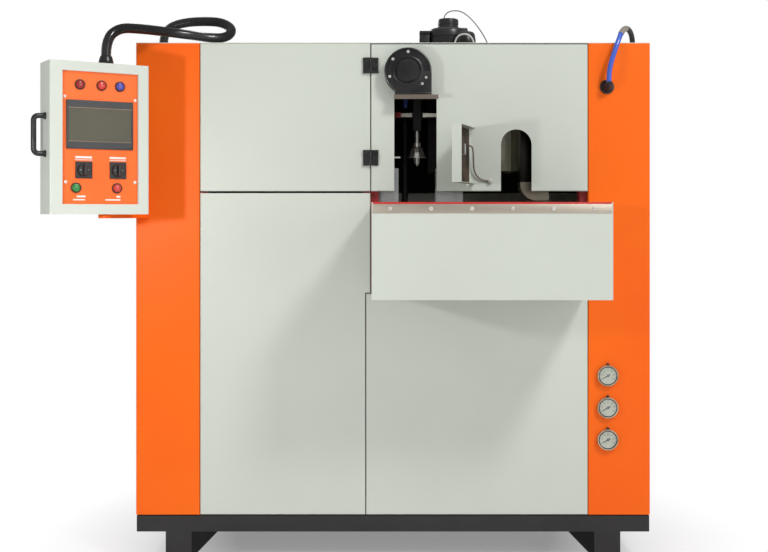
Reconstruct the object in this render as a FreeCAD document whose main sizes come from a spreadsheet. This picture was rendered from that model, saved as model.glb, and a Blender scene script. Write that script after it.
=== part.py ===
import FreeCAD, Part
import math
import os
import Sketcher
from FreeCAD import Placement, Rotation, Vector

# Stretch blow moulding machine. Millimetres, +Z up, the front faces -Y, +X to the right.
# The origin lies on the floor, midway between the four anchor holes of the legs.

SIZES = (
    # word, millimetres or degrees, what it is
    ("cabinet_wide", "1650", "over the two columns"),
    ("cabinet_deep", "750", "front sheet to rear sheet"),
    ("cabinet_tall", "1670", "floor to roof"),
    ("sheet", "2", "wall of every folded panel"),
    ("bend", "3", "outer radius of a folded edge"),
    ("flange_deep", "22", "turned edge of a fixed panel"),
    ("door_flange", "18", "turned edge of a door"),
    ("seam", "3", "gap between two panels"),
    ("door_gap", "6", "gap under a door or panel"),
    ("side_gap", "2", "gap between a door and a column"),
    ("leg_tall", "100", "leg and its foot plate"),
    ("leg_wide", "80", "square tube of a leg"),
    ("leg_wall", "5", "wall of the leg tube"),
    ("leg_in", "135", "middle of a leg from the side of the cabinet"),
    ("foot_thick", "10", "foot plate"),
    ("foot_long", "160", "foot plate, front to back"),
    ("anchor_bore", "18", "anchor hole in a foot plate"),
    ("anchor_apart", "504", "front anchor hole to rear anchor hole"),
    ("gusset_reach", "87", "gusset along the base"),
    ("gusset_thick", "8", "gusset plate"),
    ("base_tall", "51", "height of the base channel"),
    ("base_inset", "2", "base behind the panels"),
    ("base_wall", "5", "web and flanges of the base channel"),
    ("base_flange", "50", "lower flange of the base channel"),
    ("base_gap", "4", "panels above the base"),
    ("column_left_wide", "204", "front face of the left column"),
    ("column_right_wide", "198", "front face of the right column"),
    ("column_deep", "250", "side face of a column"),
    ("post", "50", "square post and rail of the inner frame"),
    ("middle_x", "-71.5", "seam between the upper panel and the guard door"),
    ("lower_x", "-87.5", "seam between the two lower doors"),
    ("step_z", "867", "step in the lower left door"),
    ("lower_top", "864", "top of the lower right door"),
    ("guard_low", "1193", "lower edge of the guard door"),
    ("pivot_in", "6", "door pivot from the door's edge"),
    ("pivot_back", "4.5", "door pivot behind the door's face"),
    ("pivot_thick", "4", "door pivot pin"),
    ("pivot_play", "0.1", "clearance round a pin"),
    ("pivot_grip", "8", "door pivot pin inside a door or a frame"),
    ("vent_wide", "260", "vent slot of the rear panel"),
    ("vent_tall", "10", "vent slot of the rear panel"),
    ("vent_step", "26", "one vent slot to the next"),
    ("vent_count", "8", "vent slots in a row"),
    ("vent_up", "90", "lower vents over the panel's lower edge"),
    ("vent_down", "330", "upper vents under the roof"),
    ("collar_tall", "20", "collar of the conduit over the roof"),
    ("collar_in", "45", "collar from the roof's left edge"),
    ("collar_back", "220", "collar from the roof's front edge"),
    ("slot_left", "4", "loading slot, left edge"),
    ("slot_wide", "136", "loading slot"),
    ("slot_top", "1492", "loading slot, top edge"),
    ("arch_left", "346.4", "outlet arch, left edge"),
    ("arch_wide", "98.6", "outlet arch"),
    ("arch_spring", "1342", "outlet arch, where the round top starts"),
    ("hinge_down", "72", "upper guard hinge under the roof"),
    ("hinge_up", "107", "lower guard hinge over the door's lower edge"),
    ("hinge_tall", "50", "guard hinge"),
    ("hinge_leaf", "23", "one leaf of a guard hinge"),
    ("hinge_thick", "5", "leaf of a guard hinge"),
    ("knuckle", "10", "knuckle of a guard hinge"),
    ("hinge_pin", "5", "pin of a guard hinge"),
    ("knuckle_gap", "0.5", "knuckle off the panels"),
    ("knuckle_play", "0.3", "clearance between two knuckles"),
    ("blower_x", "47.8", "blower axis"),
    ("blower_z", "1574", "blower axis"),
    ("blower_wide", "150", "blower housing, round part"),
    ("blower_deep", "48", "blower housing off the door"),
    ("blower_wall", "3", "blower housing"),
    ("blower_motor", "80", "motor cap on the blower"),
    ("blower_shaft", "5", "motor shaft of the blower"),
    ("blower_hub", "16", "hub of the impeller"),
    ("blade_count", "16", "blades of the impeller"),
    ("blade_thick", "0.75", "blade of the impeller"),
    ("blower_foot", "6.5", "blower over the loading slot"),
    ("outlet_left", "3.5", "blower outlet, left edge"),
    ("outlet_wide", "114.5", "blower outlet"),
    ("shelf_left", "3", "shelf under the blower"),
    ("shelf_wide", "141", "shelf under the blower"),
    ("shelf_tall", "14", "lip of the shelf"),
    ("shelf_wall", "1.5", "sheet of the shelf"),
    ("shelf_rim", "12", "shelf round its air slot"),
    ("apron_wide", "686", "front apron"),
    ("apron_low", "875", "underside of the apron"),
    ("apron_tall", "278", "front wall of the apron"),
    ("apron_deep", "430", "apron in front of the cabinet"),
    ("strip_tall", "26", "stainless strip on the apron"),
    ("strip_thick", "1.5", "stainless strip on the apron"),
    ("strip_drop", "5", "strip below the apron's rim"),
    ("strip_screws", "6", "screws of the strip"),
    ("strip_screw", "10", "head of a strip screw"),
    ("strip_margin", "50", "outer screws from the strip's ends"),
    ("apron_bend", "0.9", "outer radius of the apron's front edges"),
    ("flap_hinge_x", "245", "outlet flap, hinge edge"),
    ("flap_wide", "215", "outlet flap"),
    ("flap_low", "1216", "outlet flap, lower edge"),
    ("flap_tall", "178", "outlet flap"),
    ("flap_deep", "30", "turned edge of the flap"),
    ("flap_open", "107", "degrees that the flap stands open"),
    ("flap_axis_in", "6", "flap pivot from its hinge edge"),
    ("flap_axis_out", "18.5", "flap pivot in front of the door"),
    ("latch_in", "25", "latch from the flap's free edge"),
    ("latch_head", "24", "latch head"),
    ("latch_shaft", "10", "latch shaft"),
    ("latch_head_thick", "4", "latch head"),
    ("latch_gap", "0.3", "clearance between the latch head and the flap"),
    ("latch_slot", "2.4", "slot in the latch head"),
    ("bracket_gap", "0.5", "bracket from the flap"),
    ("bracket_thick", "3", "bracket of the flap"),
    ("bracket_wide", "14", "bracket of the flap"),
    ("bracket_nose", "5", "bracket in front of its pin"),
    ("bracket_pin", "4", "pin inside the flap"),
    ("relief_deep", "6", "notch of the flap round its brackets"),
    ("relief_wide", "14", "notch of the flap round its brackets"),
    ("cam_long", "33", "cam of the latch"),
    ("cam_wide", "10", "cam of the latch"),
    ("cam_thick", "3", "cam of the latch"),
    ("cam_gap", "4", "cam behind the flap"),
    ("eyelet_x", "312", "stud of the bonding cable"),
    ("eyelet_z", "1226", "stud of the bonding cable"),
    ("eyelet_wide", "10", "stud of the bonding cable"),
    ("eyelet_tall", "8", "stud of the bonding cable"),
    ("pendant_x", "-870", "swivel axis of the pendant"),
    ("pendant_y", "-580", "swivel axis of the pendant"),
    ("pendant_low", "1119", "underside of the pendant"),
    ("pendant_wide", "300", "pendant case"),
    ("pendant_tall", "450", "pendant case"),
    ("pendant_deep", "105", "pendant case"),
    ("pendant_turn", "32", "degrees that the pendant is turned"),
    ("pendant_pin_across", "187", "swivel axis from the pendant's left side"),
    ("pendant_pin_back", "62", "swivel axis from the pendant's front"),
    ("pendant_wall", "3", "pendant case"),
    ("pendant_play", "0.3", "clearance between the pendant and its arm"),
    ("swivel_pin", "16", "swivel pin of the pendant"),
    ("fascia_left", "37", "border left of the fascia"),
    ("fascia_right", "33", "border right of the fascia"),
    ("fascia_low", "30", "border under the fascia"),
    ("fascia_high", "28", "border over the fascia"),
    ("fascia_recess", "10", "fascia behind the case front"),
    ("screen_left", "50", "touch panel, left edge"),
    ("screen_low", "193", "touch panel, lower edge"),
    ("screen_wide", "202", "touch panel bezel"),
    ("screen_tall", "144", "touch panel bezel"),
    ("screen_proud", "6", "touch panel bezel off the fascia"),
    ("screen_margin", "6", "touch panel bezel over its cut-out"),
    ("screen_border", "20", "bezel left and right of the screen"),
    ("screen_head", "24", "bezel over and under the screen"),
    ("screen_sunk", "1.5", "screen behind the fascia's face"),
    ("screen_body", "35", "touch panel behind the fascia"),
    ("button_cap", "24", "cap of a push-button"),
    ("button_bezel", "30", "bezel of a push-button"),
    ("button_proud", "10", "push-button off the fascia"),
    ("button_play", "0.3", "clearance round a push-button"),
    ("button_stem", "14", "stem of a push-button"),
    ("bezel_proud", "4", "bezel of a push-button off the fascia"),
    ("button_left_across", "91", "left push-button"),
    ("button_middle_across", "156", "middle push-button"),
    ("button_right_across", "212", "right push-button"),
    ("button_start_across", "79", "start push-button"),
    ("button_stop_across", "203", "stop push-button"),
    ("upper_buttons", "383", "row of three push-buttons"),
    ("lower_buttons", "78", "row of two lamp push-buttons"),
    ("switch_row", "131", "row of two rotary switches"),
    ("switch_plate", "49", "square plate of a rotary switch"),
    ("switch_proud", "3", "plate of a rotary switch off the fascia"),
    ("switch_disc", "38", "round base of a rotary switch"),
    ("switch_disc_thick", "8", "round base of a rotary switch"),
    ("switch_grip", "10", "bar grip of a rotary switch"),
    ("switch_grip_high", "12", "bar grip off its round base"),
    ("switch_shaft", "10", "shaft of a rotary switch"),
    ("switch_left_across", "102.5", "left rotary switch"),
    ("switch_right_across", "206", "right rotary switch"),
    ("handle_tall", "127", "pendant handle, overall"),
    ("handle_out", "42", "pendant handle off the case"),
    ("handle_thick", "16", "bar of the pendant handle"),
    ("handle_low", "170", "pendant handle above the case's underside"),
    ("handle_back", "45", "pendant handle behind the case's front"),
    ("handle_foot", "4", "foot of the pendant handle"),
    ("arm_thick", "12", "pendant arm"),
    ("arm_wide", "46", "pendant arm"),
    ("arm_foot_x", "-804", "pendant arm, middle of its wall plate"),
    ("arm_plate_wide", "36", "wall plate of the pendant arm"),
    ("arm_plate_tall", "150", "wall plate of the pendant arm"),
    ("arm_plate_thick", "6", "wall plate of the pendant arm"),
    ("gland_tall", "30", "conduit gland"),
    ("gland_wide", "38", "conduit gland"),
    ("conduit_wide", "31", "corrugated conduit, over its ribs"),
    ("rib_high", "2", "height of a rib"),
    ("rib_count", "64", "ribs of the conduit"),
    ("gauge_in", "137", "pressure gauges from the right side"),
    ("gauge_top", "602", "upper gauge"),
    ("gauge_step", "102.5", "one gauge to the next"),
    ("gauge_wide", "68", "rim of a gauge"),
    ("gauge_body", "60", "gauge behind its rim"),
    ("gauge_proud", "16", "gauge off the column"),
    ("gauge_dial", "58", "dial of a gauge"),
    ("gauge_sunk", "6", "dial behind the rim"),
    ("gauge_back", "18", "body of a gauge behind the column"),
    ("gauge_spigot", "16", "pressure connection of a gauge"),
    ("pointer_stud", "4", "stud of a gauge pointer"),
    ("pointer_thick", "1", "gauge pointer"),
    ("pointer_gap", "0.6", "gauge pointer off its dial"),
    ("pointer_rest", "120", "degrees that a pointer rests left of upright"),
    ("air_in", "138.4", "air inlet fitting from the right side"),
    ("air_down", "142.2", "air inlet fitting under the top of the cabinet"),
    ("air_elbow", "35", "elbow of the air inlet off the column"),
    ("air_riser", "12.2", "riser of the elbow over the inlet"),
    ("air_flange", "46", "flange of the air inlet fitting"),
    ("air_hose_wide", "16", "air hose"),
    ("grey_tube_wide", "4", "grey tube on the roof"),
    ("white_tube_wide", "6", "white tube on the roof"),
    ("cable_wide", "5", "bonding cable"),
    ("fan_x", "192", "fan unit on the roof"),
    ("fan_y", "-60", "fan unit on the roof"),
    ("fan_drum", "133", "drum of the fan unit"),
    ("fan_drum_tall", "92", "drum of the fan unit"),
    ("fan_motor", "72", "motor of the fan unit"),
    ("fan_motor_tall", "36", "motor of the fan unit"),
    ("fan_round", "8", "chamfer on top of the drum"),
    ("terminal_long", "100", "terminal box from the fan's axis"),
    ("terminal_deep", "50", "terminal box of the fan"),
    ("terminal_tall", "84", "terminal box of the fan"),
    ("can_wide", "32", "capacitor of the fan"),
    ("can_tall", "95", "capacitor of the fan"),
    ("bowl_wide", "68", "air filter bowl"),
    ("bowl_tall", "72", "air filter bowl"),
    ("bowl_right", "56", "air filter bowl from the fan's axis"),
    ("bowl_front", "82", "air filter bowl in front of the fan's axis"),
    ("deck_z", "850", "underside of the machine deck"),
    ("deck_thick", "12", "machine deck"),
    ("blow_x", "80", "blowing axis"),
    ("blow_y", "-230", "blowing axis"),
    ("mould_open", "62", "travel of one mould half"),
    ("mould_thick", "58", "mould half"),
    ("mould_deep", "120", "mould half, front to back"),
    ("mould_low", "1110", "underside of the moulds"),
    ("mould_top", "1270", "top of the moulds"),
    ("platen_thick", "30", "platen behind a mould half"),
    ("bottle_wide", "66", "bottle cavity"),
    ("bottle_tall", "130", "bottle cavity"),
    ("neck_wide", "28", "neck of the cavity"),
    ("bar_thick", "20", "slide bar"),
    ("bar_play", "0.1", "clearance round a slide bar"),
    ("bell_low", "1306", "underside of the blow bell's flange"),
    ("bell_wide", "65", "flange of the blow bell"),
    ("bell_tall", "51", "blow bell with its neck"),
    ("blow_rod", "16", "rod of the blow cylinder"),
    ("shank_top", "1512", "upper end of the cylinder rod"),
    ("nozzle_tall", "20", "nozzle under the bell's flange"),
    ("nozzle_play", "3", "nozzle inside the neck of the moulds"),
    ("stretch_thick", "8", "stretch rod"),
    ("stretch_long", "318", "stretch rod"),
    ("stretch_tip", "6", "stretch rod under the nozzle"),
    ("barrel_wide", "26", "barrel of the blow cylinder"),
    ("barrel_low", "1396", "underside of the barrel"),
    ("barrel_top", "1552", "top of the barrel"),
    ("guide_plate_z", "1439", "guide plate"),
    ("guide_plate_thick", "10", "guide plate"),
    ("guide_plate_left", "55", "guide plate left of the blowing axis"),
    ("guide_plate_right", "150", "guide plate right of the blowing axis"),
    ("guide_column", "22", "column of the guide plate"),
    ("guide_column_in", "17", "column behind the moulds"),
    ("end_plate", "20", "end plate of the slide bars"),
    ("end_plate_high", "40", "end plate over the moulds' underside"),
    ("bar_up", "4", "slide bar over the moulds' underside"),
    ("bar_in", "18", "slide bar from the face of a mould"),
    ("platen_high", "24", "platen over and under a mould"),
    ("platen_in", "14", "platen behind the front of a mould"),
    ("bar_end", "6", "slide bar past an open mould half"),
    ("cavity_down", "12", "neck plane under the top of the moulds"),
    ("oven_left", "120", "preform oven"),
    ("oven_wide", "276", "preform oven"),
    ("oven_front", "-120", "preform oven"),
    ("oven_deep", "320", "preform oven"),
    ("oven_low", "1267", "preform oven"),
    ("oven_wall", "25", "insulated wall of the oven"),
    ("lamp_thick", "12", "oven lamp"),
    ("lamp_step", "60", "one oven lamp to the next"),
    ("lamp_count", "4", "oven lamps"),
    ("lamp_up", "50", "lowest lamp over the oven's lower edge"),
    ("lamp_in", "18", "lamp from the oven's inner wall"),
    ("chute_left", "405", "outlet chute"),
    ("chute_radius", "60", "outlet chute"),
    ("chute_low", "1165", "outlet chute"),
    ("chute_wide", "92", "outlet chute, front to back"),
    ("chute_back", "8", "outlet chute behind the front posts"),
    ("chute_lip", "46", "flat end of the outlet chute"),
    ("chute_post", "30", "square post of the outlet chute"),
    ("tank_wide", "300", "air receiver"),
    ("tank_long", "520", "air receiver, straight shell"),
    ("tank_z", "400", "air receiver axis"),
    ("tank_y", "60", "air receiver axis"),
    ("tank_in", "70", "straight shell from the middle posts"),
    ("tank_dish", "75", "dished end of the air receiver"),
    ("tank_neck", "44", "neck of the air receiver"),
    ("tank_neck_tall", "30", "neck over the shell"),
    ("saddle_in", "90", "saddle from the end of the shell"),
    ("saddle_thick", "40", "saddle of the air receiver"),
    ("saddle_deep", "210", "saddle, front to back"),
    ("plate_tall", "620", "electrical plate"),
    ("plate_up", "50", "electrical plate over the base"),
    ("plate_thick", "3", "electrical plate"),
    ("rail_first", "110", "upper rail under the plate's top"),
    ("rail_step", "140", "one rail to the next"),
    ("rail_count", "3", "rails of the electrical plate"),
    ("rail_wide", "34", "mounting rail"),
    ("rail_deep", "10", "mounting rail off the frame"),
    ("rail_in", "60", "mounting rail from the plate's side"),
    ("duct_tall", "40", "cable duct"),
    ("duct_deep", "55", "cable duct off the frame"),
    ("duct_up", "45", "cable duct over its rail"),
    ("duct_in", "40", "cable duct from the plate's side"),
    ("block_count", "9", "breakers on a rail"),
    ("block_wide", "50", "breaker"),
    ("block_tall", "80", "breaker"),
    ("block_deep", "72", "breaker off the frame"),
    ("block_step", "58", "one breaker to the next"),
    ("block_in", "90", "first breaker from the plate's side"),
    ("drive_wide", "190", "motor drive"),
    ("drive_tall", "160", "motor drive"),
    ("drive_deep", "150", "motor drive off the frame"),
    ("drive_up", "40", "motor drive over the plate's lower edge"),
)


class Size:
    """A length that knows its number and the spreadsheet words that it comes from."""

    def __init__(self, number, words):
        self.number = float(number)
        self.words = words

    def __float__(self):
        return self.number

    def __add__(self, other):
        return Size(self.number + float(other), f"({self.words} + {words(other)})")

    def __radd__(self, other):
        return Size(float(other) + self.number, f"({words(other)} + {self.words})")

    def __sub__(self, other):
        return Size(self.number - float(other), f"({self.words} - {words(other)})")

    def __rsub__(self, other):
        return Size(float(other) - self.number, f"({words(other)} - {self.words})")

    def __mul__(self, other):
        return Size(self.number * float(other), f"({self.words} * {words(other)})")

    __rmul__ = __mul__

    def __truediv__(self, other):
        return Size(self.number / float(other), f"({self.words} / {words(other)})")

    def __neg__(self):
        return Size(-self.number, f"(0 - {self.words})")


def words(value):
    """The expression text of a size or of a plain number."""
    if isinstance(value, Size):
        return value.words
    return f"{value}" if value >= 0 else f"(0 - {-value})"


class Sheet:
    """The driving sizes by name."""


doc = FreeCAD.newDocument("BlowMouldingMachine")
cells = doc.addObject("Spreadsheet::Sheet", "Sizes")
S = Sheet()
for row, (word, number, meaning) in enumerate(SIZES, 1):
    cells.set(f"A{row}", word)
    cells.set(f"B{row}", number)
    cells.set(f"C{row}", meaning)
    cells.setAlias(f"B{row}", word)
    setattr(S, word, Size(number, f"Sizes.{word}"))
doc.recompute()

pieces = []
taken = {}


def unique(name):
    """A document name that no other object has."""
    taken[name] = taken.get(name, 0) + 1
    return f"{name}_{taken[name]}"


def bind(item, name, value):
    item.setExpression(name, words(value))


def place(item, base, rotation=None):
    """Binds an object's position, and turns it by a fixed rotation."""
    if rotation is not None:
        item.Placement = Placement(Vector(), rotation)
    for axis, value in zip("xyz", base):
        bind(item, f"Placement.Base.{axis}", value)


def box(low, high):
    item = doc.addObject("Part::Box", unique("Block"))
    for name, start, end in zip(("Length", "Width", "Height"), low, high):
        bind(item, name, end - start)
    place(item, low)
    return item


TURNS = {
    "X": Rotation(Vector(0, 1, 0), 90),
    "Y": Rotation(Vector(1, 0, 0), -90),
    "Z": Rotation(),
}


def rod(start, radius, length, axis):
    """A cylinder from its start point along +X, +Y or +Z."""
    item = doc.addObject("Part::Cylinder", unique("Rod"))
    bind(item, "Radius", radius)
    bind(item, "Height", length)
    place(item, start, TURNS[axis])
    return item


def joined(*parts):
    item = doc.addObject("Part::MultiFuse", unique("Joined"))
    item.Shapes = list(parts)
    item.Refine = True
    return item


def without(base, *tools):
    item = doc.addObject("Part::Cut", unique("Cut"))
    item.Base = base
    item.Tool = tools[0] if len(tools) == 1 else joined(*tools)
    item.Refine = True
    return item


def shared(first, second):
    """The material that two solids have in common."""
    item = doc.addObject("Part::Common", unique("Shared"))
    item.Base = first
    item.Tool = second
    item.Refine = True
    return item


def together(*parts):
    """Separate solids of one node, such as like fasteners."""
    item = doc.addObject("Part::Compound", unique("Group"))
    item.Links = list(parts)
    return item


def piece(label, item):
    item.Label = label
    pieces.append(item)
    return item


# Sketched pieces ------------------------------------------------------------------------------

NORMALS = {"XY_Plane": 1, "XZ_Plane": -1, "YZ_Plane": 1}


def new_body(name):
    return doc.addObject("PartDesign::Body", unique(name))


def new_sketch(body, plane, level):
    sketch = body.newObject("Sketcher::SketchObject", unique("Sketch"))
    origin = [item for item in body.Origin.OriginFeatures if item.Role == plane][0]
    sketch.AttachmentSupport = [(origin, "")]
    sketch.MapMode = "FlatFace"
    bind(sketch, "AttachmentOffset.Base.z", level * NORMALS[plane])
    return sketch


def fix_point(sketch, geometry, end, point):
    """Holds a sketch point at its two sizes from the sketch's origin."""
    for kind, value, axis in (("DistanceX", point[0], -2), ("DistanceY", point[1], -1)):
        if not isinstance(value, Size) and value == 0:
            sketch.addConstraint(Sketcher.Constraint("PointOnObject", geometry, end, axis))
            continue
        index = sketch.addConstraint(Sketcher.Constraint(kind, -1, 1, geometry, end, float(value)))
        bind(sketch, f"Constraints[{index}]", value)


def outline(body, plane, level, points):
    """A sketch of straight edges through the points."""
    sketch = new_sketch(body, plane, level)
    corners = [Vector(float(x), float(y), 0) for x, y in points]
    count = len(corners)
    for index, corner in enumerate(corners):
        sketch.addGeometry(Part.LineSegment(corner, corners[(index + 1) % count]), False)
    for index, point in enumerate(points):
        sketch.addConstraint(Sketcher.Constraint("Coincident", index, 2, (index + 1) % count, 1))
        fix_point(sketch, index, 1, point)
    return sketch


def rounds(body, plane, level, circles):
    """A sketch of full circles, each given as x, y and diameter."""
    sketch = new_sketch(body, plane, level)
    for index, (x, y, wide) in enumerate(circles):
        ring = Part.Circle(Vector(float(x), float(y), 0), Vector(0, 0, 1), float(wide) / 2)
        sketch.addGeometry(ring, False)
        fix_point(sketch, index, 3, (x, y))
        number = sketch.addConstraint(Sketcher.Constraint("Diameter", index, float(wide)))
        bind(sketch, f"Constraints[{number}]", wide)
    return sketch


def pad(body, sketch, length, inward, plane):
    """Adds material from the sketch in the given direction of the plane's world axis."""
    feature = body.newObject("PartDesign::Pad", unique("Pad"))
    feature.Profile = sketch
    bind(feature, "Length", length)
    feature.Reversed = inward != NORMALS[plane]
    return feature


def pocket(body, sketch, inward, plane, length=None):
    """Takes material away from the sketch, through all where no length is given."""
    doc.recompute()
    before = body.Shape.Volume
    feature = body.newObject("PartDesign::Pocket", unique("Pocket"))
    feature.Profile = sketch
    feature.Reversed = inward == NORMALS[plane]
    if length is None:
        feature.Type = "ThroughAll"
    else:
        bind(feature, "Length", length)
    doc.recompute()
    if body.Shape.Volume > before - 1e-6:
        raise ValueError(f"{feature.Name} in {body.Name} cuts nothing")
    return feature


def round_edges(body, names, radius):
    """Fillets the named edges of a body's last feature."""
    base = body.Tip
    feature = body.newObject("PartDesign::Fillet", unique("Fillet"))
    feature.Base = (base, names)
    bind(feature, "Radius", radius)
    return feature


def round_face_edges(body, axis, level, radius):
    """Rounds the edges that lie wholly in one plane, such as the front of a folded panel."""
    doc.recompute()
    names = []
    for number, edge in enumerate(body.Shape.Edges, 1):
        limits = edge.BoundBox
        low, high = getattr(limits, f"{axis}Min"), getattr(limits, f"{axis}Max")
        if abs(low - float(level)) < 1e-4 and abs(high - float(level)) < 1e-4:
            names.append(f"Edge{number}")
    return round_edges(body, names, radius)


def round_upright_edges(body, y, radius):
    """Rounds the upright edges that lie at one depth."""
    doc.recompute()
    names = []
    for number, edge in enumerate(body.Shape.Edges, 1):
        limits = edge.BoundBox
        if limits.ZLength > 1 and abs(limits.YMax - float(y)) < 1e-4:
            names.append(f"Edge{number}")
    return round_edges(body, names, radius)


def turned(points, base, rotation=None):
    """A body of revolution. Points are radius and height, the first and last on the axis."""
    body = new_body("Turned")
    sketch = outline(body, "XZ_Plane", 0, points)
    feature = body.newObject("PartDesign::Revolution", unique("Revolution"))
    feature.Profile = sketch
    feature.ReferenceAxis = (sketch, ["V_Axis"])
    feature.Angle = 360
    place(body, base, rotation)
    return body


def rectangle(x_low, y_low, x_high, y_high, inset=0):
    return [
        (x_low + inset, y_low + inset),
        (x_high - inset, y_low + inset),
        (x_high - inset, y_high - inset),
        (x_low + inset, y_high - inset),
    ]


def pan(name, plane, face, inward, shape, deep, wall, bend):
    """A folded sheet: a flat face with its edges turned inwards. shape(inset) gives its outline."""
    body = new_body(name)
    axis = {"XY_Plane": "Z", "XZ_Plane": "Y", "YZ_Plane": "X"}[plane]
    pad(body, outline(body, plane, face, shape(0)), deep, inward, plane)
    round_face_edges(body, axis, face, bend)
    pocket(body, outline(body, plane, face + inward * wall, shape(wall)), inward, plane)
    return body


# Places that several pieces share -------------------------------------------------------------

left = -S.cabinet_wide / 2
right = S.cabinet_wide / 2
front = -S.cabinet_deep / 2
rear = S.cabinet_deep / 2
base_top = S.leg_tall + S.base_tall
panel_low = base_top + S.base_gap
roof_low = S.cabinet_tall - S.sheet
column_left = left + S.column_left_wide
column_right = right - S.column_right_wide
door_left = column_left + S.side_gap
door_right = column_right - S.side_gap
post_front = front + S.flange_deep
post_back = post_front + S.post
rear_post_front = rear - S.flange_deep - S.post
frame_left = left + S.sheet
frame_right = right - S.sheet
rail_low = roof_low - S.post
deck_top = S.deck_z + S.deck_thick
left_pivot_x = door_left + S.pivot_in
right_pivot_x = door_right - S.pivot_in
pivot_y = front + S.pivot_back
gauge_x = right - S.gauge_in
air_x = right - S.air_in
air_z = S.cabinet_tall - S.air_down
hinge_heights = (roof_low - S.hinge_down, S.guard_low + S.hinge_up)
collar_x = left + S.collar_in
collar_y = front + S.collar_back


# Base and legs --------------------------------------------------------------------------------

def base_frame():
    """Channel ring with a floor plate, and the two lower door pivots standing on it."""
    x, y = right - S.base_inset, rear - S.base_inset
    outer = box((-x, -y, S.leg_tall), (x, y, base_top))
    hollow = box(
        (-x + S.base_wall, -y + S.base_wall, S.leg_tall + S.base_wall),
        (x - S.base_wall, y - S.base_wall, base_top - S.base_wall),
    )
    mouth = box(
        (-x + S.base_flange, -y + S.base_flange, S.leg_tall - S.base_wall),
        (x - S.base_flange, y - S.base_flange, S.leg_tall + 2 * S.base_wall),
    )
    pin_low = base_top - S.base_wall / 2
    pins = [pivot_pin(x, pin_low, panel_low + S.pivot_grip) for x in (left_pivot_x, right_pivot_x)]
    return joined(without(outer, hollow, mouth), *pins)


def pivot_pin(x, low, high):
    return rod((x, pivot_y, low), S.pivot_thick / 2, high - low, "Z")


def leg(side, end):
    """Square tube on a foot plate, with a gusset towards the middle of the machine."""
    middle = side * (right - S.leg_in)
    outer_y = end * (rear - S.base_inset)
    inner_y = outer_y - end * S.leg_wide
    foot_y = outer_y - end * S.foot_long
    y_low, y_high = (outer_y, inner_y) if end < 0 else (inner_y, outer_y)
    foot_low, foot_high = (outer_y, foot_y) if end < 0 else (foot_y, outer_y)
    half = S.leg_wide / 2
    body = new_body("Leg")
    tube = outline(body, "XY_Plane", S.foot_thick, rectangle(middle - half, y_low, middle + half, y_high))
    pad(body, tube, S.leg_tall - S.foot_thick, 1, "XY_Plane")
    bore = rectangle(middle - half, y_low, middle + half, y_high, S.leg_wall)
    pocket(body, outline(body, "XY_Plane", S.foot_thick, bore), 1, "XY_Plane")
    foot = outline(body, "XY_Plane", 0, rectangle(middle - half, foot_low, middle + half, foot_high))
    pad(body, foot, S.foot_thick, 1, "XY_Plane")
    hole = rounds(body, "XY_Plane", 0, [(middle, end * S.anchor_apart / 2, S.anchor_bore)])
    pocket(body, hole, 1, "XY_Plane", S.foot_thick)
    inner_x = middle - side * half
    gusset = [
        (inner_x, S.foot_thick),
        (inner_x - side * S.gusset_reach, S.leg_tall),
        (inner_x, S.leg_tall),
    ]
    pad(body, outline(body, "XZ_Plane", outer_y, gusset), S.gusset_thick, -end, "XZ_Plane")
    return body


# Inner frame ----------------------------------------------------------------------------------

def post_at(middle, y_low, y_high, top):
    return box((middle - S.post / 2, y_low, base_top), (middle + S.post / 2, y_high, top))


def front_frame():
    """Five posts under a rail, with the brackets and pins of the upper door pivots."""
    middles = (frame_left + S.post / 2, column_left, S.middle_x, column_right, frame_right - S.post / 2)
    bars = [post_at(middle, post_front, post_back, rail_low) for middle in middles]
    bars.append(box((frame_left, post_front, rail_low), (frame_right, post_back, roof_low)))
    for x, door_top in ((left_pivot_x, S.guard_low - S.door_gap), (right_pivot_x, S.lower_top)):
        bars.append(
            box(
                (x - S.pivot_thick, pivot_y - S.pivot_thick / 2, door_top + S.sheet / 2),
                (x + S.pivot_thick, post_front + S.sheet, door_top + 2 * S.sheet),
            )
        )
        bars.append(pivot_pin(x, door_top - S.pivot_grip, door_top + 2 * S.sheet))
    return joined(*bars)


def rear_frame():
    """Three posts, the rear rail and the two side rails."""
    y_low, y_high = rear_post_front, rear_post_front + S.post
    middles = (frame_left + S.post / 2, S.middle_x, frame_right - S.post / 2)
    bars = [post_at(middle, y_low, y_high, rail_low) for middle in middles]
    bars.append(box((frame_left, y_low, rail_low), (frame_right, y_high, roof_low)))
    for x in (frame_left, frame_right - S.post):
        bars.append(box((x, post_back, rail_low), (x + S.post, y_low, roof_low)))
    return joined(*bars)


def machine_deck():
    low = (S.middle_x - S.post / 2, post_back, S.deck_z)
    return box(low, (frame_right, rear_post_front, deck_top))


# Panels ---------------------------------------------------------------------------------------

def column(side, edge, holes):
    """Front corner sheet: a front face, a side face and a turned inner edge."""
    outer = side * S.cabinet_wide / 2
    side_end = front + S.column_deep
    wall = side * S.sheet
    body = new_body("Column")
    x_low, x_high = (outer, edge) if side < 0 else (edge, outer)
    plan = rectangle(x_low, front, x_high, side_end)
    pad(body, outline(body, "XY_Plane", panel_low, plan), roof_low - panel_low, 1, "XY_Plane")
    round_upright_edges(body, front, S.bend)
    inside = [
        (edge + wall, front + S.sheet),
        (outer - wall, front + S.sheet),
        (outer - wall, side_end + S.sheet),
        (edge - wall, side_end + S.sheet),
        (edge - wall, post_front),
        (edge + wall, post_front),
    ]
    pocket(body, outline(body, "XY_Plane", panel_low, inside), 1, "XY_Plane")
    if holes:
        pocket(body, rounds(body, "XZ_Plane", front, holes), 1, "XZ_Plane", S.sheet * 2)
    return body


def gauge_heights():
    return [S.gauge_top - step * S.gauge_step for step in range(3)]


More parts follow.
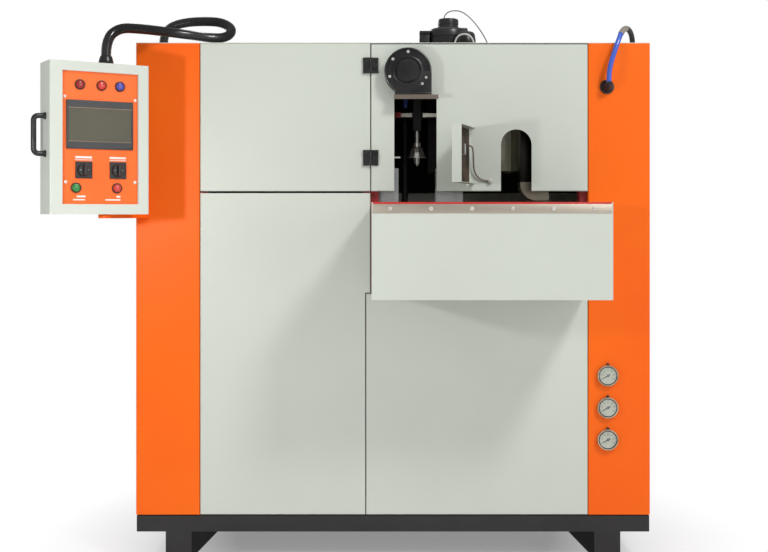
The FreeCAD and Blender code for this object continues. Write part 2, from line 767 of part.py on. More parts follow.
def side_panel(side):
    outer = side * S.cabinet_wide / 2
    inner = outer - side * S.sheet
    x_low, x_high = (outer, inner) if side < 0 else (inner, outer)
    return box((x_low, front + S.column_deep + S.side_gap, panel_low), (x_high, rear, roof_low))


def rear_panel():
    """Bolted pan with a row of vent slots near its foot and another near its top."""
    shape = lambda inset: rectangle(frame_left, panel_low, frame_right, roof_low, inset)
    body = pan("RearPanel", "XZ_Plane", rear, -1, shape, S.flange_deep, S.sheet, S.bend)
    vent_left = right / 2 - S.vent_wide / 2
    for low in (panel_low + S.vent_up, roof_low - S.vent_down):
        first = rectangle(vent_left, low, vent_left + S.vent_wide, low + S.vent_tall)
        opening = pocket(body, outline(body, "XZ_Plane", rear, first), -1, "XZ_Plane", S.sheet * 2)
        rows = body.newObject("PartDesign::LinearPattern", unique("Rows"))
        rows.Originals = [opening]
        rows.Direction = (opening.Profile[0], ["V_Axis"])
        bind(rows, "Length", S.vent_step * (S.vent_count - 1))
        bind(rows, "Occurrences", S.vent_count)
        body.Tip = rows
    return body


def roof_panel():
    """Flat roof sheet with the collar that the conduit goes into."""
    plate = box((left, front, roof_low), (right, rear, S.cabinet_tall))
    collar = rod((collar_x, collar_y, roof_low), S.gland_wide / 2, S.sheet + S.collar_tall, "Z")
    return joined(plate, collar)


def upper_left_panel():
    edge = S.middle_x - S.seam / 2
    shape = lambda inset: rectangle(door_left, S.guard_low, edge, roof_low, inset)
    return pan("UpperPanel", "XZ_Plane", front, 1, shape, S.flange_deep, S.sheet, S.bend)


# Doors ----------------------------------------------------------------------------------------

def pivot_holes(body, x, low, high):
    """Holes for the pivot pins in the turned lower and upper edge."""
    for level, inward in ((low, 1), (high, -1)):
        ring = rounds(body, "XY_Plane", level, [(x, pivot_y, S.pivot_thick + 2 * S.pivot_play)])
        pocket(body, ring, inward, "XY_Plane", S.sheet * 2)


def lower_left_door():
    """Tall door that steps in below the apron. The strip past the step is welded to its edge."""
    top = S.guard_low - S.door_gap
    wide_edge = S.middle_x - S.seam / 2
    narrow_edge = S.lower_x - S.seam / 2

    def shape(inset):
        return [
            (door_left + inset, panel_low + inset),
            (narrow_edge - inset, panel_low + inset),
            (narrow_edge - inset, S.step_z + inset),
            (wide_edge - inset, S.step_z + inset),
            (wide_edge - inset, top - inset),
            (door_left + inset, top - inset),
        ]

    body = pan("LowerLeftDoor", "XZ_Plane", front, 1, shape, S.door_flange, S.sheet, S.bend)
    pivot_holes(body, left_pivot_x, panel_low, top)
    past_step = box((narrow_edge, front - 1, S.step_z - 1), (wide_edge + 1, post_front, top + 1))
    return together(without(body, past_step), shared(body, past_step))


def lower_right_door():
    edge = S.lower_x + S.seam / 2
    shape = lambda inset: rectangle(edge, panel_low, door_right, S.lower_top, inset)
    body = pan("LowerRightDoor", "XZ_Plane", front, 1, shape, S.door_flange, S.sheet, S.bend)
    pivot_holes(body, right_pivot_x, panel_low, S.lower_top)
    return body


def guard_door():
    """Door with the loading slot, the outlet arch and the two pivot brackets of the outlet flap."""
    edge = S.middle_x + S.seam / 2
    top = roof_low - S.seam
    shape = lambda inset: rectangle(edge, S.guard_low, door_right, top, inset)
    body = pan("GuardDoor", "XZ_Plane", front, 1, shape, S.door_flange, S.sheet, S.bend)
    below = S.guard_low - S.door_gap
    slot = rectangle(S.slot_left, below, S.slot_left + S.slot_wide, S.slot_top)
    pocket(body, outline(body, "XZ_Plane", front, slot), 1, "XZ_Plane")
    arch = rectangle(S.arch_left, below, S.arch_left + S.arch_wide, S.arch_spring)
    pocket(body, outline(body, "XZ_Plane", front, arch), 1, "XZ_Plane")
    head = [(S.arch_left + S.arch_wide / 2, S.arch_spring, S.arch_wide)]
    pocket(body, rounds(body, "XZ_Plane", front, head), 1, "XZ_Plane")
    stud = rod((S.eyelet_x, front - S.eyelet_tall, S.eyelet_z), S.eyelet_wide / 2, S.eyelet_tall, "Y")
    ends = [flap_bracket(S.flap_low, -1), flap_bracket(S.flap_low + S.flap_tall, 1)]
    return joined(body, stud, *ends)


def flap_bracket(level, away):
    """Small bracket over or under the flap, with the pivot pin that goes into its turned edge."""
    axis_x, axis_y = flap_axis()
    near = level + away * S.bracket_gap
    far = near + away * S.bracket_thick
    tip = level - away * S.bracket_pin
    low, high = (far, near) if away < 0 else (near, far)
    pin_low, pin_high = (low, tip) if away < 0 else (tip, high)
    half_wide, nose = S.bracket_wide / 2, S.bracket_nose
    plate = box((axis_x - half_wide, axis_y - nose, low), (axis_x + half_wide, front + S.sheet / 2, high))
    pin = rod((axis_x, axis_y, pin_low), S.pivot_thick / 2, pin_high - pin_low, "Z")
    return joined(plate, pin)


def guard_hinge_leaves(fixed):
    """Leaves of both guard hinges: outer knuckles and pin on the panel, inner one on the door."""
    side = -1 if fixed else 1
    play = 0 if fixed else S.knuckle_play
    axis_y = front - S.knuckle / 2 - S.knuckle_gap
    third = S.hinge_tall / 3
    near = S.middle_x + side * (S.knuckle / 2 + S.knuckle_gap * 2)
    far = S.middle_x + side * (S.hinge_leaf + S.seam / 2)
    x_low, x_high = (far, near) if side < 0 else (near, far)
    web_low, web_high = (x_low, S.middle_x) if side < 0 else (S.middle_x, x_high)
    half = S.hinge_thick / 2
    solids = []
    for middle in hinge_heights:
        low = middle - S.hinge_tall / 2
        parts = [box((x_low, front - S.hinge_thick, low), (x_high, front, low + S.hinge_tall))]
        for index in (0, 2) if fixed else (1,):
            start = low + index * third + play
            tall = third - 2 * play
            parts.append(rod((S.middle_x, axis_y, start), S.knuckle / 2, tall, "Z"))
            parts.append(box((web_low, axis_y - half, start), (web_high, axis_y + half, start + tall)))
        if fixed:
            parts.append(rod((S.middle_x, axis_y, low), S.hinge_pin / 2, S.hinge_tall, "Z"))
            solids.append(joined(*parts))
        else:
            bore = rod((S.middle_x, axis_y, low), S.hinge_pin / 2 + S.pivot_play, S.hinge_tall, "Z")
            solids.append(without(joined(*parts), bore))
    return together(*solids)


# Blower on the guard door ---------------------------------------------------------------------

def blower_housing():
    """Snail housing with its outlet downwards, a motor cap in front and the inlet at the door side."""
    x, z = S.blower_x, S.blower_z
    foot = S.slot_top + S.blower_foot
    outer_y = front - S.blower_deep
    body = new_body("BlowerHousing")
    drum = rounds(body, "XZ_Plane", front, [(x, z, S.blower_wide)])
    pad(body, drum, S.blower_deep, -1, "XZ_Plane")
    duct = rectangle(S.outlet_left, foot, S.outlet_left + S.outlet_wide, z)
    pad(body, outline(body, "XZ_Plane", front, duct), S.blower_deep, -1, "XZ_Plane")
    round_face_edges(body, "Y", outer_y, S.blower_wall)
    inner = S.blower_wide - 2 * S.blower_wall
    room = S.blower_deep - 2 * S.blower_wall
    chamber = rounds(body, "XZ_Plane", front - S.blower_wall, [(x, z, inner)])
    pocket(body, chamber, -1, "XZ_Plane", room)
    hollow = rectangle(
        S.outlet_left + S.blower_wall, foot - S.sheet, S.outlet_left + S.outlet_wide - S.blower_wall, z
    )
    pocket(body, outline(body, "XZ_Plane", front - S.blower_wall, hollow), -1, "XZ_Plane", room)
    inlet = rounds(body, "XZ_Plane", front, [(x, z, S.blower_motor)])
    pocket(body, inlet, -1, "XZ_Plane", S.blower_wall)
    cap = rounds(body, "XZ_Plane", outer_y, [(x, z, S.blower_motor)])
    pad(body, cap, S.blower_wall * 2, -1, "XZ_Plane")
    round_face_edges(body, "Y", outer_y - S.blower_wall * 2, S.blower_wall)
    shaft = rounds(body, "XZ_Plane", outer_y + S.blower_wall, [(x, z, S.blower_shaft)])
    pad(body, shaft, S.blower_deep - 4 * S.blower_wall, 1, "XZ_Plane")
    return body


def blower_impeller():
    """Back disc, hub and a ring of straight blades, turning on the motor shaft."""
    x, z = S.blower_x, S.blower_z
    outer = S.blower_wide / 2 - 3 * S.blower_wall
    disc_y = front - S.blower_deep + 2 * S.blower_wall
    blade_long = S.blower_deep - 5 * S.blower_wall
    hub = rod((x, disc_y, z), S.blower_hub / 2, blade_long * 0.6, "Y")
    disc = rod((x, disc_y, z), outer, S.sheet, "Y")
    bore = rod((x, disc_y - S.sheet, z), S.blower_shaft / 2 + S.pivot_play, S.blower_deep, "Y")
    wheel = without(joined(hub, disc), bore)
    blades = [wheel]
    blade_count = round(S.blade_count.number)
    for index in range(blade_count):
        blade = doc.addObject("Part::Box", unique("Blade"))
        bind(blade, "Length", outer * 0.22)
        bind(blade, "Width", blade_long)
        bind(blade, "Height", S.blade_thick)
        angle = 360 / blade_count * index
        reach = outer * 0.76
        blade_x = x + reach * math.cos(math.radians(angle))
        blade_z = z + reach * math.sin(math.radians(angle))
        place(blade, (blade_x, disc_y, blade_z), Rotation(Vector(0, -1, 0), angle))
        blades.append(blade)
    return joined(*blades)


def blower_shelf():
    """Folded stainless shelf under the blower, with a slot that lets the air down."""
    top = S.slot_top + S.blower_foot
    low = top - S.shelf_tall
    outer_y = front - S.blower_deep
    end = S.shelf_left + S.shelf_wide
    plate = box((S.shelf_left, outer_y, top - S.shelf_wall), (end, front, top))
    lip = box((S.shelf_left, outer_y, low), (end, outer_y + S.shelf_wall, top))
    back = box((S.shelf_left, front - S.shelf_wall, S.slot_top), (end, front, top))
    rim = S.shelf_rim
    air = box(
        (S.outlet_left + rim, outer_y + rim, top - 2 * S.shelf_wall),
        (S.outlet_left + S.outlet_wide - rim, front - rim, top + S.shelf_wall),
    )
    return without(joined(plate, lip, back), air)


# Apron ----------------------------------------------------------------------------------------

def apron():
    """Open-topped front housing. Its side walls run back to the posts, its floor is closed."""
    x_low, x_high = door_right - S.apron_wide, door_right
    y_low = front - S.apron_deep
    top = S.apron_low + S.apron_tall
    body = new_body("Apron")
    plan = rectangle(x_low, y_low, x_high, post_front)
    pad(body, outline(body, "XY_Plane", S.apron_low, plan), S.apron_tall, 1, "XY_Plane")
    round_face_edges(body, "Y", y_low, S.apron_bend)
    inside = rectangle(x_low + S.sheet, y_low + S.sheet, x_high - S.sheet, post_front + S.sheet)
    pocket(body, outline(body, "XY_Plane", S.apron_low + S.sheet, inside), 1, "XY_Plane")
    return body


def apron_strip():
    x_low, x_high = door_right - S.apron_wide + S.bend, door_right - S.bend
    y = front - S.apron_deep
    high = S.apron_low + S.apron_tall - S.strip_drop
    strip = box((x_low, y - S.strip_thick, high - S.strip_tall), (x_high, y, high))
    screw_count = round(S.strip_screws.number)
    step = (x_high - x_low - 2 * S.strip_margin) / (screw_count - 1)
    radius = S.strip_screw / 2
    head = [(0, 0), (radius, 0), (radius, radius * 0.25), (radius * 0.7, radius * 0.6), (0, radius * 0.7)]
    parts = [strip]
    for index in range(screw_count):
        spot = (x_low + S.strip_margin + index * step, y - S.strip_thick, high - S.strip_tall / 2)
        parts.append(turned(head, spot, Rotation(Vector(1, 0, 0), 90)))
    return joined(*parts)


# Outlet flap ----------------------------------------------------------------------------------

def flap_axis():
    return S.flap_hinge_x + S.flap_axis_in, front - S.flap_axis_out


def swung(item):
    """Turns a flap piece, drawn about the flap's axis, to where the flap stands open."""
    axis_x, axis_y = flap_axis()
    item.Placement = Placement(Vector(), Rotation(Vector(0, 0, 1), -S.flap_open.number))
    bind(item, "Placement.Base.x", axis_x)
    bind(item, "Placement.Base.y", axis_y)
    bind(item, "Placement.Rotation.Angle", S.flap_open)
    item.Placement.Rotation.Axis = Vector(0, 0, -1)
    return item


def outlet_flap():
    """Folded cover with three turned edges, drawn closed about its axis and then swung open."""
    x_low = -S.flap_axis_in
    x_high = S.flap_wide - S.flap_axis_in
    y_back = S.flap_axis_out - 1
    y_face = y_back - S.flap_deep
    low, high = S.flap_low, S.flap_low + S.flap_tall
    outer = box((x_low, y_face, low), (x_high, y_back, high))
    inside = box(
        (x_low - 1, y_face + S.sheet, low + S.sheet),
        (x_high - S.sheet, y_back + 1, high - S.sheet),
    )
    relief = box(
        (x_low - 1, y_back - S.relief_deep, low - 1),
        (x_low + S.relief_wide, y_back + 1, high + 1),
    )
    pivots = rod((0, 0, low - 1), S.pivot_thick / 2 + S.pivot_play, S.flap_tall + 2, "Z")
    latch_x = x_high - S.latch_in
    latch_z = low + S.flap_tall / 2
    shaft = rod((latch_x, y_face - 1, latch_z), S.latch_shaft / 2 + S.pivot_play, S.sheet + 2, "Y")
    return swung(without(outer, inside, relief, pivots, shaft))


def flap_latch():
    """Quarter-turn latch: a slotted head outside, a shaft and a cam inside."""
    x = S.flap_wide - S.flap_axis_in - S.latch_in
    z = S.flap_low + S.flap_tall / 2
    y_back = S.flap_axis_out - 1
    y_face = y_back - S.flap_deep
    head_y = y_face - S.latch_gap - S.latch_head_thick
    half = S.latch_head / 3
    head = rod((x, head_y, z), S.latch_head / 2, S.latch_head_thick, "Y")
    groove = S.latch_slot / 2
    slot = box((x - half, head_y - 1, z - groove), (x + half, head_y + groove, z + groove))
    cam_y = y_back + S.cam_gap
    cam_back = cam_y + S.cam_thick
    shaft_y = head_y + S.latch_slot
    shaft = rod((x, shaft_y, z), S.latch_shaft / 2, cam_back - shaft_y, "Y")
    cam_half = S.cam_wide / 2
    cam = box((x - cam_half, cam_y, z - cam_half), (x + cam_half, cam_back, z + S.cam_long - cam_half))
    return swung(joined(without(head, slot), shaft, cam))


# Pendant --------------------------------------------------------------------------------------

def pendant_spot(across, back, up):
    """A point of the pendant, measured from its front lower left corner, about the swivel axis."""
    return (across - S.pendant_pin_across, back - S.pendant_pin_back, up)


def hung(item):
    """Puts a pendant piece, drawn about the swivel axis, to its place and turn."""
    item.Placement = Placement(Vector(), Rotation(Vector(0, 0, 1), S.pendant_turn.number))
    for axis, value in zip("xyz", (S.pendant_x, S.pendant_y, S.pendant_low)):
        bind(item, f"Placement.Base.{axis}", value)
    bind(item, "Placement.Rotation.Angle", S.pendant_turn)
    return item


def pendant_box(low, high):
    return box(pendant_spot(*low), pendant_spot(*high))


def pendant_rod(across, back, up, radius, length):
    """A cylinder that runs from front to back through the pendant."""
    return rod(pendant_spot(across, back, up), radius, length, "Y")


def fascia_limits():
    return (
        S.fascia_left,
        S.fascia_low,
        S.pendant_wide - S.fascia_right,
        S.pendant_tall - S.fascia_high,
    )


def pendant_case():
    """Folded case with rounded upright edges, open in front of the recessed fascia."""
    wall = S.pendant_wall
    body = new_body("PendantCase")
    x0, y0, _ = pendant_spot(0, 0, 0)
    x1, y1, _ = pendant_spot(S.pendant_wide, S.pendant_deep, 0)
    pad(body, outline(body, "XY_Plane", 0, rectangle(x0, y0, x1, y1)), S.pendant_tall, 1, "XY_Plane")
    doc.recompute()
    upright = [f"Edge{n}" for n, line in enumerate(body.Shape.Edges, 1) if line.BoundBox.ZLength > 1]
    round_edges(body, upright, wall * 1.5)
    left_in, low_in, right_in, high_in = fascia_limits()
    room = rectangle(x0 + wall, wall, x1 - wall, S.pendant_tall - wall)
    inner = y0 + S.fascia_recess + wall
    room_deep = S.pendant_deep - S.fascia_recess - 2 * wall
    pocket(body, outline(body, "XZ_Plane", inner, room), 1, "XZ_Plane", room_deep)
    mouth = rectangle(x0 + left_in, low_in, x0 + right_in, high_in)
    pocket(body, outline(body, "XZ_Plane", y0, mouth), 1, "XZ_Plane", S.fascia_recess + wall * 1.5)
    pin = rounds(body, "XY_Plane", 0, [(0, 0, S.swivel_pin + 2 * S.pivot_play)])
    pocket(body, pin, 1, "XY_Plane", wall * 1.5)
    return hung(body)


upper_places = (S.button_left_across, S.button_middle_across, S.button_right_across)
lower_places = (S.button_start_across, S.button_stop_across)
switch_places = (S.switch_left_across, S.switch_right_across)


def pendant_fascia():
    """Recessed plate with the button bezels and the square switch plates standing on it."""
    left_in, low_in, right_in, high_in = fascia_limits()
    face = S.fascia_recess
    back = face + S.pendant_wall
    parts = [pendant_box((left_in, face, low_in), (right_in, back, high_in))]
    holes = []
    spots = [(across, S.upper_buttons) for across in upper_places]
    spots += [(across, S.lower_buttons) for across in lower_places]
    bezel_face = face - S.bezel_proud
    for across, up in spots:
        deep = back - bezel_face
        parts.append(pendant_rod(across, bezel_face, up, S.button_bezel / 2, deep))
        bore = S.button_cap / 2 + S.button_play
        holes.append(pendant_rod(across, bezel_face - 1, up, bore, deep + 2))
    half = S.switch_plate / 2
    plate_face = face - S.switch_proud
    for across in switch_places:
        low = (across - half, plate_face, S.switch_row - half)
        parts.append(pendant_box(low, (across + half, face, S.switch_row + half)))
        radius = S.switch_shaft / 2 + S.pivot_play
        holes.append(pendant_rod(across, plate_face - 1, S.switch_row, radius, back - plate_face + 2))
    margin = S.screen_margin
    holes.append(
        pendant_box(
            (S.screen_left + margin, face - 1, S.screen_low + margin),
            (S.screen_left + S.screen_wide - margin, back + 1, S.screen_low + S.screen_tall - margin),
        )
    )
    return hung(without(joined(*parts), *holes))


def touch_panel():
    """Screen unit: a bezel in front of the fascia, a sunk screen and a body behind."""
    face = S.fascia_recess
    low, high = S.screen_low, S.screen_low + S.screen_tall
    near, far = S.screen_left, S.screen_left + S.screen_wide
    bezel = pendant_box((near, face - S.screen_proud, low), (far, face, high))
    inset = S.screen_margin + S.button_play
    back = face + S.screen_body
    body = pendant_box((near + inset, face, low + inset), (far - inset, back, high - inset))
    border, head = S.screen_border, S.screen_head
    screen = pendant_box(
        (near + border, face - S.screen_proud - 1, low + head),
        (far - border, face - S.screen_proud + S.screen_sunk, high - head),
    )
    return hung(without(joined(bezel, body), screen))


def push_button(across, up):
    """Round cap with a stem that runs through its bezel."""
    face = S.fascia_recess
    cap_face = face - S.button_proud
    cap = pendant_rod(across, cap_face, up, S.button_cap / 2, S.button_proud + S.pendant_wall)
    stem = pendant_rod(across, face, up, S.button_stem / 2, S.pendant_wall + S.button_stem)
    return hung(joined(cap, stem))


def rotary_switch(across):
    """Round base with a bar grip, on a shaft through the fascia."""
    base_back = S.fascia_recess - S.switch_proud - S.button_play
    base_face = base_back - S.switch_disc_thick
    up = S.switch_row
    half, reach = S.switch_grip / 2, S.switch_disc / 2 - 1
    disc = pendant_rod(across, base_face, up, S.switch_disc / 2, S.switch_disc_thick)
    grip = pendant_box(
        (across - half, base_face - S.switch_grip_high, up - reach),
        (across + half, base_face + 1, up + reach),
    )
    shaft_long = S.fascia_recess + S.pendant_wall - base_face
    shaft = pendant_rod(across, base_face + 1, up, S.switch_shaft / 2, shaft_long)
    return hung(joined(disc, grip, shaft))


def pendant_handle():
    """Bridge handle on the left side of the case: one bent bar between two round feet."""
    radius = S.handle_thick / 2
    back = S.handle_back
    low, high = S.handle_low + radius, S.handle_low + S.handle_tall - radius
    grip = radius - S.handle_out
    corners = [pendant_spot(x, back, z) for x, z in ((0, low), (grip, low), (grip, high), (0, high))]
    bar = made(plain_tube([tuple(map(float, corner)) for corner in corners], 2 * radius.number, "handle"))
    foot = S.handle_foot
    feet = [rod(pendant_spot(-foot, back, level), radius * 1.35, foot, "X") for level in (low, high)]
    return hung(joined(bar, *feet))


def pendant_arm():
    """Flat arm from the column's wall plate to the swivel pin under the pendant."""
    top = S.pendant_low - S.pendant_play
    low = top - S.arm_thick
    half = S.arm_wide / 2
    body = new_body("PendantArm")
    bar = [
        (S.pendant_x - half, S.pendant_y),
        (S.arm_foot_x - half * 0.7, front),
        (S.arm_foot_x + half * 0.7, front),
        (S.pendant_x + half, S.pendant_y),
    ]
    pad(body, outline(body, "XY_Plane", low, bar), S.arm_thick, 1, "XY_Plane")
    eye = rounds(body, "XY_Plane", low, [(S.pendant_x, S.pendant_y, S.arm_wide)])
    pad(body, eye, S.arm_thick, 1, "XY_Plane")
    pin = rounds(body, "XY_Plane", low, [(S.pendant_x, S.pendant_y, S.swivel_pin)])
    pad(body, pin, S.arm_thick + S.pendant_play + 3 * S.pendant_wall, 1, "XY_Plane")
    plate_half = S.arm_plate_wide / 2
    plate = rectangle(S.arm_foot_x - plate_half, low, S.arm_foot_x + plate_half, low + S.arm_plate_tall)
    pad(body, outline(body, "XZ_Plane", front, plate), S.arm_plate_thick, -1, "XZ_Plane")
    return body


def conduit_gland():
    """Domed gland on top of the pendant, on the swivel axis."""
    wide = S.gland_wide / 2
    tall = S.gland_tall
    profile = [
        (0, 0),
        (wide + 2, 0),
        (wide + 2, tall * 0.3),
        (wide, tall * 0.34),
        (wide, tall * 0.8),
        (wide - 3, tall),
        (0, tall),
    ]
    return turned(profile, (S.pendant_x, S.pendant_y, S.pendant_low + S.pendant_tall))


# Hoses, conduit and cable ---------------------------------------------------------------------

CONDUIT_ROUTE = (
    (-870, -580, 1599.3),
    (-870, -580, 1650),
    (-838, -548, 1690),
    (-790, -470, 1699),
    (-735, -393, 1703),
    (-670, -350, 1700),
    (-600, -335, 1691),
    (-545, -300, 1696),
    (-530, -245, 1732),
    (-575, -200, 1765),
    (-650, -178, 1771),
    (-712, -166, 1768),
    (-760, -158, 1754),
)
AIR_HOSE_ROUTE = (
    (686.6, -410, 1540.3),
    (686.6, -410, 1566),
    (692, -411, 1598),
    (705, -403, 1635),
    (719, -394, 1672),
    (734, -376, 1706),
    (757, -334, 1725),
    (781, -287, 1718),
    (794, -254, 1695),
    (794, -254, 1670.3),
)
GREY_TUBE_ROUTE = (
    (178, -60, 1798.3),
    (178, -60, 1812),
    (200, -63, 1828),
    (238, -66, 1826),
    (273, -68, 1798),
    (304, -70, 1758),
    (328, -72, 1716),
    (334, -73, 1690),
    (334, -73, 1670.3),
)
WHITE_TUBE_ROUTE = (
    (206, -190, 1670.3),
    (206, -190, 1700),
    (224, -192, 1726),
    (256, -192, 1726),
    (274, -190, 1700),
    (274, -190, 1670.3),
)
CABLE_ROUTE = (
    (241.44, -390.58, 1338),
    (252.91, -394.08, 1338),
    (256.5, -393, 1318),
    (257, -391, 1294),
    (258, -387, 1266),
    (265, -384, 1245),
    (281, -381, 1231),
    (298, -379.5, 1226),
    (306.8, -379.5, 1226),
)


def path_edges(route, name):
    """Straight runs joined by tangent arcs, each as large as its two runs allow."""
    points = [Vector(*point) for point in route]
    edges = []
    start = points[0]
    radii = []
    for before, corner, after in zip(points, points[1:], points[2:]):
        to_before = (before - corner).normalize()
        to_after = (after - corner).normalize()
        turn = math.pi - to_before.getAngle(to_after)
        reach = 0.45 * min((corner - before).Length, (after - corner).Length)
        radius = reach / math.tan(turn / 2)
        radii.append(round(radius))
        first = corner + to_before * reach
        last = corner + to_after * reach
        bisector = (to_before + to_after).normalize()
        centre_distance = math.hypot(reach, radius)
        middle = corner + bisector * (centre_distance - radius)
        edges.append(Part.LineSegment(start, first).toShape())
        edges.append(Part.Arc(first, middle, last).toShape())
        start = last
    edges.append(Part.LineSegment(start, points[-1]).toShape())
    print(name, "length", round(sum(edge.Length for edge in edges)), "radii", radii)
    return edges


def plain_tube(route, wide, name):
    """A round tube along a route."""
    edges = path_edges(route, name)
    wire = Part.Wire(edges)
    first = edges[0].FirstParameter
    start, direction = edges[0].valueAt(first), edges[0].tangentAt(first)
    ring = Part.Wire(Part.Circle(start, direction, wide / 2).toShape())
    solid = Part.Solid(wire.makePipeShell([ring], True, False))
    expected = math.pi * wide * wide / 4 * wire.Length
    print(name, "volume over section times length", round(abs(solid.Volume) / expected, 4))
    return solid


def at_length(edges, distance):
    """Point and direction of the route at a distance from its start."""
    for edge in edges:
        if distance <= edge.Length or edge is edges[-1]:
            parameter = edge.getParameterByLength(min(distance, edge.Length))
            return edge.valueAt(parameter), edge.tangentAt(parameter)
        distance -= edge.Length
    raise ValueError("no such length")


def ribbed_tube(route, wide, rib_high, count, name):
    """A corrugated tube: one ruled skin through four circles a rib."""
    edges = path_edges(route, name)
    total = sum(edge.Length for edge in edges)
    plain_end = wide * 0.5
    pitch = (total - 2 * plain_end) / count
    valley, crest = wide / 2 - rib_high, wide / 2
    rings = [(0, valley)]
    for rib in range(count):
        for share, radius in ((0.05, valley), (0.3, crest), (0.7, crest), (0.95, valley)):
            rings.append((plain_end + (rib + share) * pitch, radius))
    rings.append((total, valley))
    steady = Vector(0, -1, 1).normalize()
    sections = []
    for distance, radius in rings:
        point, direction = at_length(edges, distance)
        across = (steady - direction * steady.dot(direction)).normalize()
        ring = Part.Circle(Vector(), Vector(0, 0, 1), radius).toShape()
        ring.Placement = Placement(point, Rotation(across, direction.cross(across), direction, "ZXY"))
        sections.append(Part.Wire(ring))
    return Part.makeLoft(sections, True, True)


def made(shape):
    """Puts a finished shape into the document as one object."""
    item = doc.addObject("Part::Feature", unique("Formed"))
    item.Shape = shape
    return item


# Gauges and air inlet -------------------------------------------------------------------------

def gauge_case(height):
    """Rim, body through the column and a sunk dial with the pointer's stud."""
    rim_y = front - S.gauge_proud
    dial_y = rim_y + S.gauge_sunk
    radius, dial = S.gauge_wide / 2, S.gauge_dial / 2
    lip = (radius - dial) * 0.3
    body_back = S.gauge_proud + S.gauge_back
    profile = [
        (0, S.gauge_sunk),
        (dial, S.gauge_sunk),
        (dial, lip),
        (dial + lip, 0),
        (radius - lip, 0),
        (radius, lip),
        (radius, S.gauge_proud),
        (S.gauge_body / 2, S.gauge_proud),
        (S.gauge_body / 2, body_back),
        (S.gauge_spigot / 2, body_back),
        (S.gauge_spigot / 2, body_back + S.gauge_spigot),
        (0, body_back + S.gauge_spigot),
    ]
    shell = turned(profile, (gauge_x, rim_y, height), TURNS["Y"])
    stud_long = S.gauge_sunk * 0.5
    stud = rod((gauge_x, dial_y - stud_long, height), S.pointer_stud / 2, S.gauge_sunk, "Y")
    return joined(shell, stud)


def gauge_pointer(height):
    """Flat tapered hand on the stud, with its tail."""
    dial_y = front - S.gauge_proud + S.gauge_sunk
    body = new_body("Pointer")
    reach = S.gauge_dial / 2 - S.gauge_sunk
    root, tip, hub = S.pointer_stud * 0.4, S.pointer_stud * 0.125, S.pointer_stud * 2
    hand = [(-root, -hub), (root, -hub), (root, 0), (tip, reach), (-tip, reach), (-root, 0)]
    pad(body, outline(body, "XZ_Plane", 0, hand), S.pointer_thick, -1, "XZ_Plane")
    pad(body, rounds(body, "XZ_Plane", 0, [(0, 0, hub)]), S.pointer_thick * 1.4, -1, "XZ_Plane")
    bore = rounds(body, "XZ_Plane", 0, [(0, 0, S.pointer_stud + 2 * S.pivot_play)])
    pocket(body, bore, -1, "XZ_Plane")
    rest = Rotation(Vector(0, -1, 0), S.pointer_rest.number)
    place(body, (gauge_x, dial_y - S.pointer_gap, height), rest)
    return body


def air_fitting():
    """Round flange on the column with an elbow that turns the hose upwards."""
    radius = S.air_flange / 2
    hose = S.air_hose_wide / 2
    pipe = hose + S.sheet
    elbow_y = front - S.air_elbow
    flange = rod((air_x, front - 3 * S.sheet, air_z), radius, 3 * S.sheet, "Y")
    nut = rod((air_x, front - radius, air_z), radius * 0.62, radius, "Y")
    neck = rod((air_x, elbow_y, air_z), pipe, S.air_elbow, "Y")
    riser = rod((air_x, elbow_y, air_z - pipe), pipe, pipe + S.air_riser, "Z")
    return joined(flange, nut, neck, riser)


# Roof fan -------------------------------------------------------------------------------------

def capped_rod(radius, tall, chamfer, base):
    """An upright cylinder with a chamfer round its top."""
    profile = [(0, 0), (radius, 0), (radius, tall - chamfer), (radius - chamfer, tall), (0, tall)]
    return turned(profile, base)


def roof_fan():
    """Drum and motor of the oven's fan, with terminal box, capacitor and air filter bowl."""
    x, y, z = S.fan_x, S.fan_y, S.cabinet_tall
    drum = capped_rod(S.fan_drum / 2, S.fan_drum_tall, S.fan_round, (x, y, z))
    motor = capped_rod(S.fan_motor / 2, S.fan_motor_tall, S.fan_round * 0.6, (x, y, z + S.fan_drum_tall))
    half = S.terminal_deep / 2
    terminal = box(
        (x - S.terminal_long, y - half, z),
        (x - S.fan_drum / 2 + S.sheet, y + half, z + S.terminal_tall),
    )
    can_radius = S.can_wide / 2
    tall_can = rod((x + S.fan_motor / 2 + can_radius, y - can_radius / 2, z), can_radius, S.can_tall, "Z")
    radius, tall = S.bowl_wide / 2, S.bowl_tall
    profile = [
        (0, 0),
        (radius * 0.88, 0),
        (radius, tall * 0.28),
        (radius, tall * 0.7),
        (radius * 0.76, tall * 0.92),
        (0, tall),
    ]
    bowl_x, bowl_y = x + S.bowl_right, y - S.bowl_front
    bowl = turned(profile, (bowl_x, bowl_y, z))
    stay = box((x + can_radius, bowl_y, z), (bowl_x, y - can_radius, z + tall * 0.4))
    return joined(drum, motor, terminal, tall_can, bowl, stay)


# Process: moulds, blowing, oven, chute --------------------------------------------------------

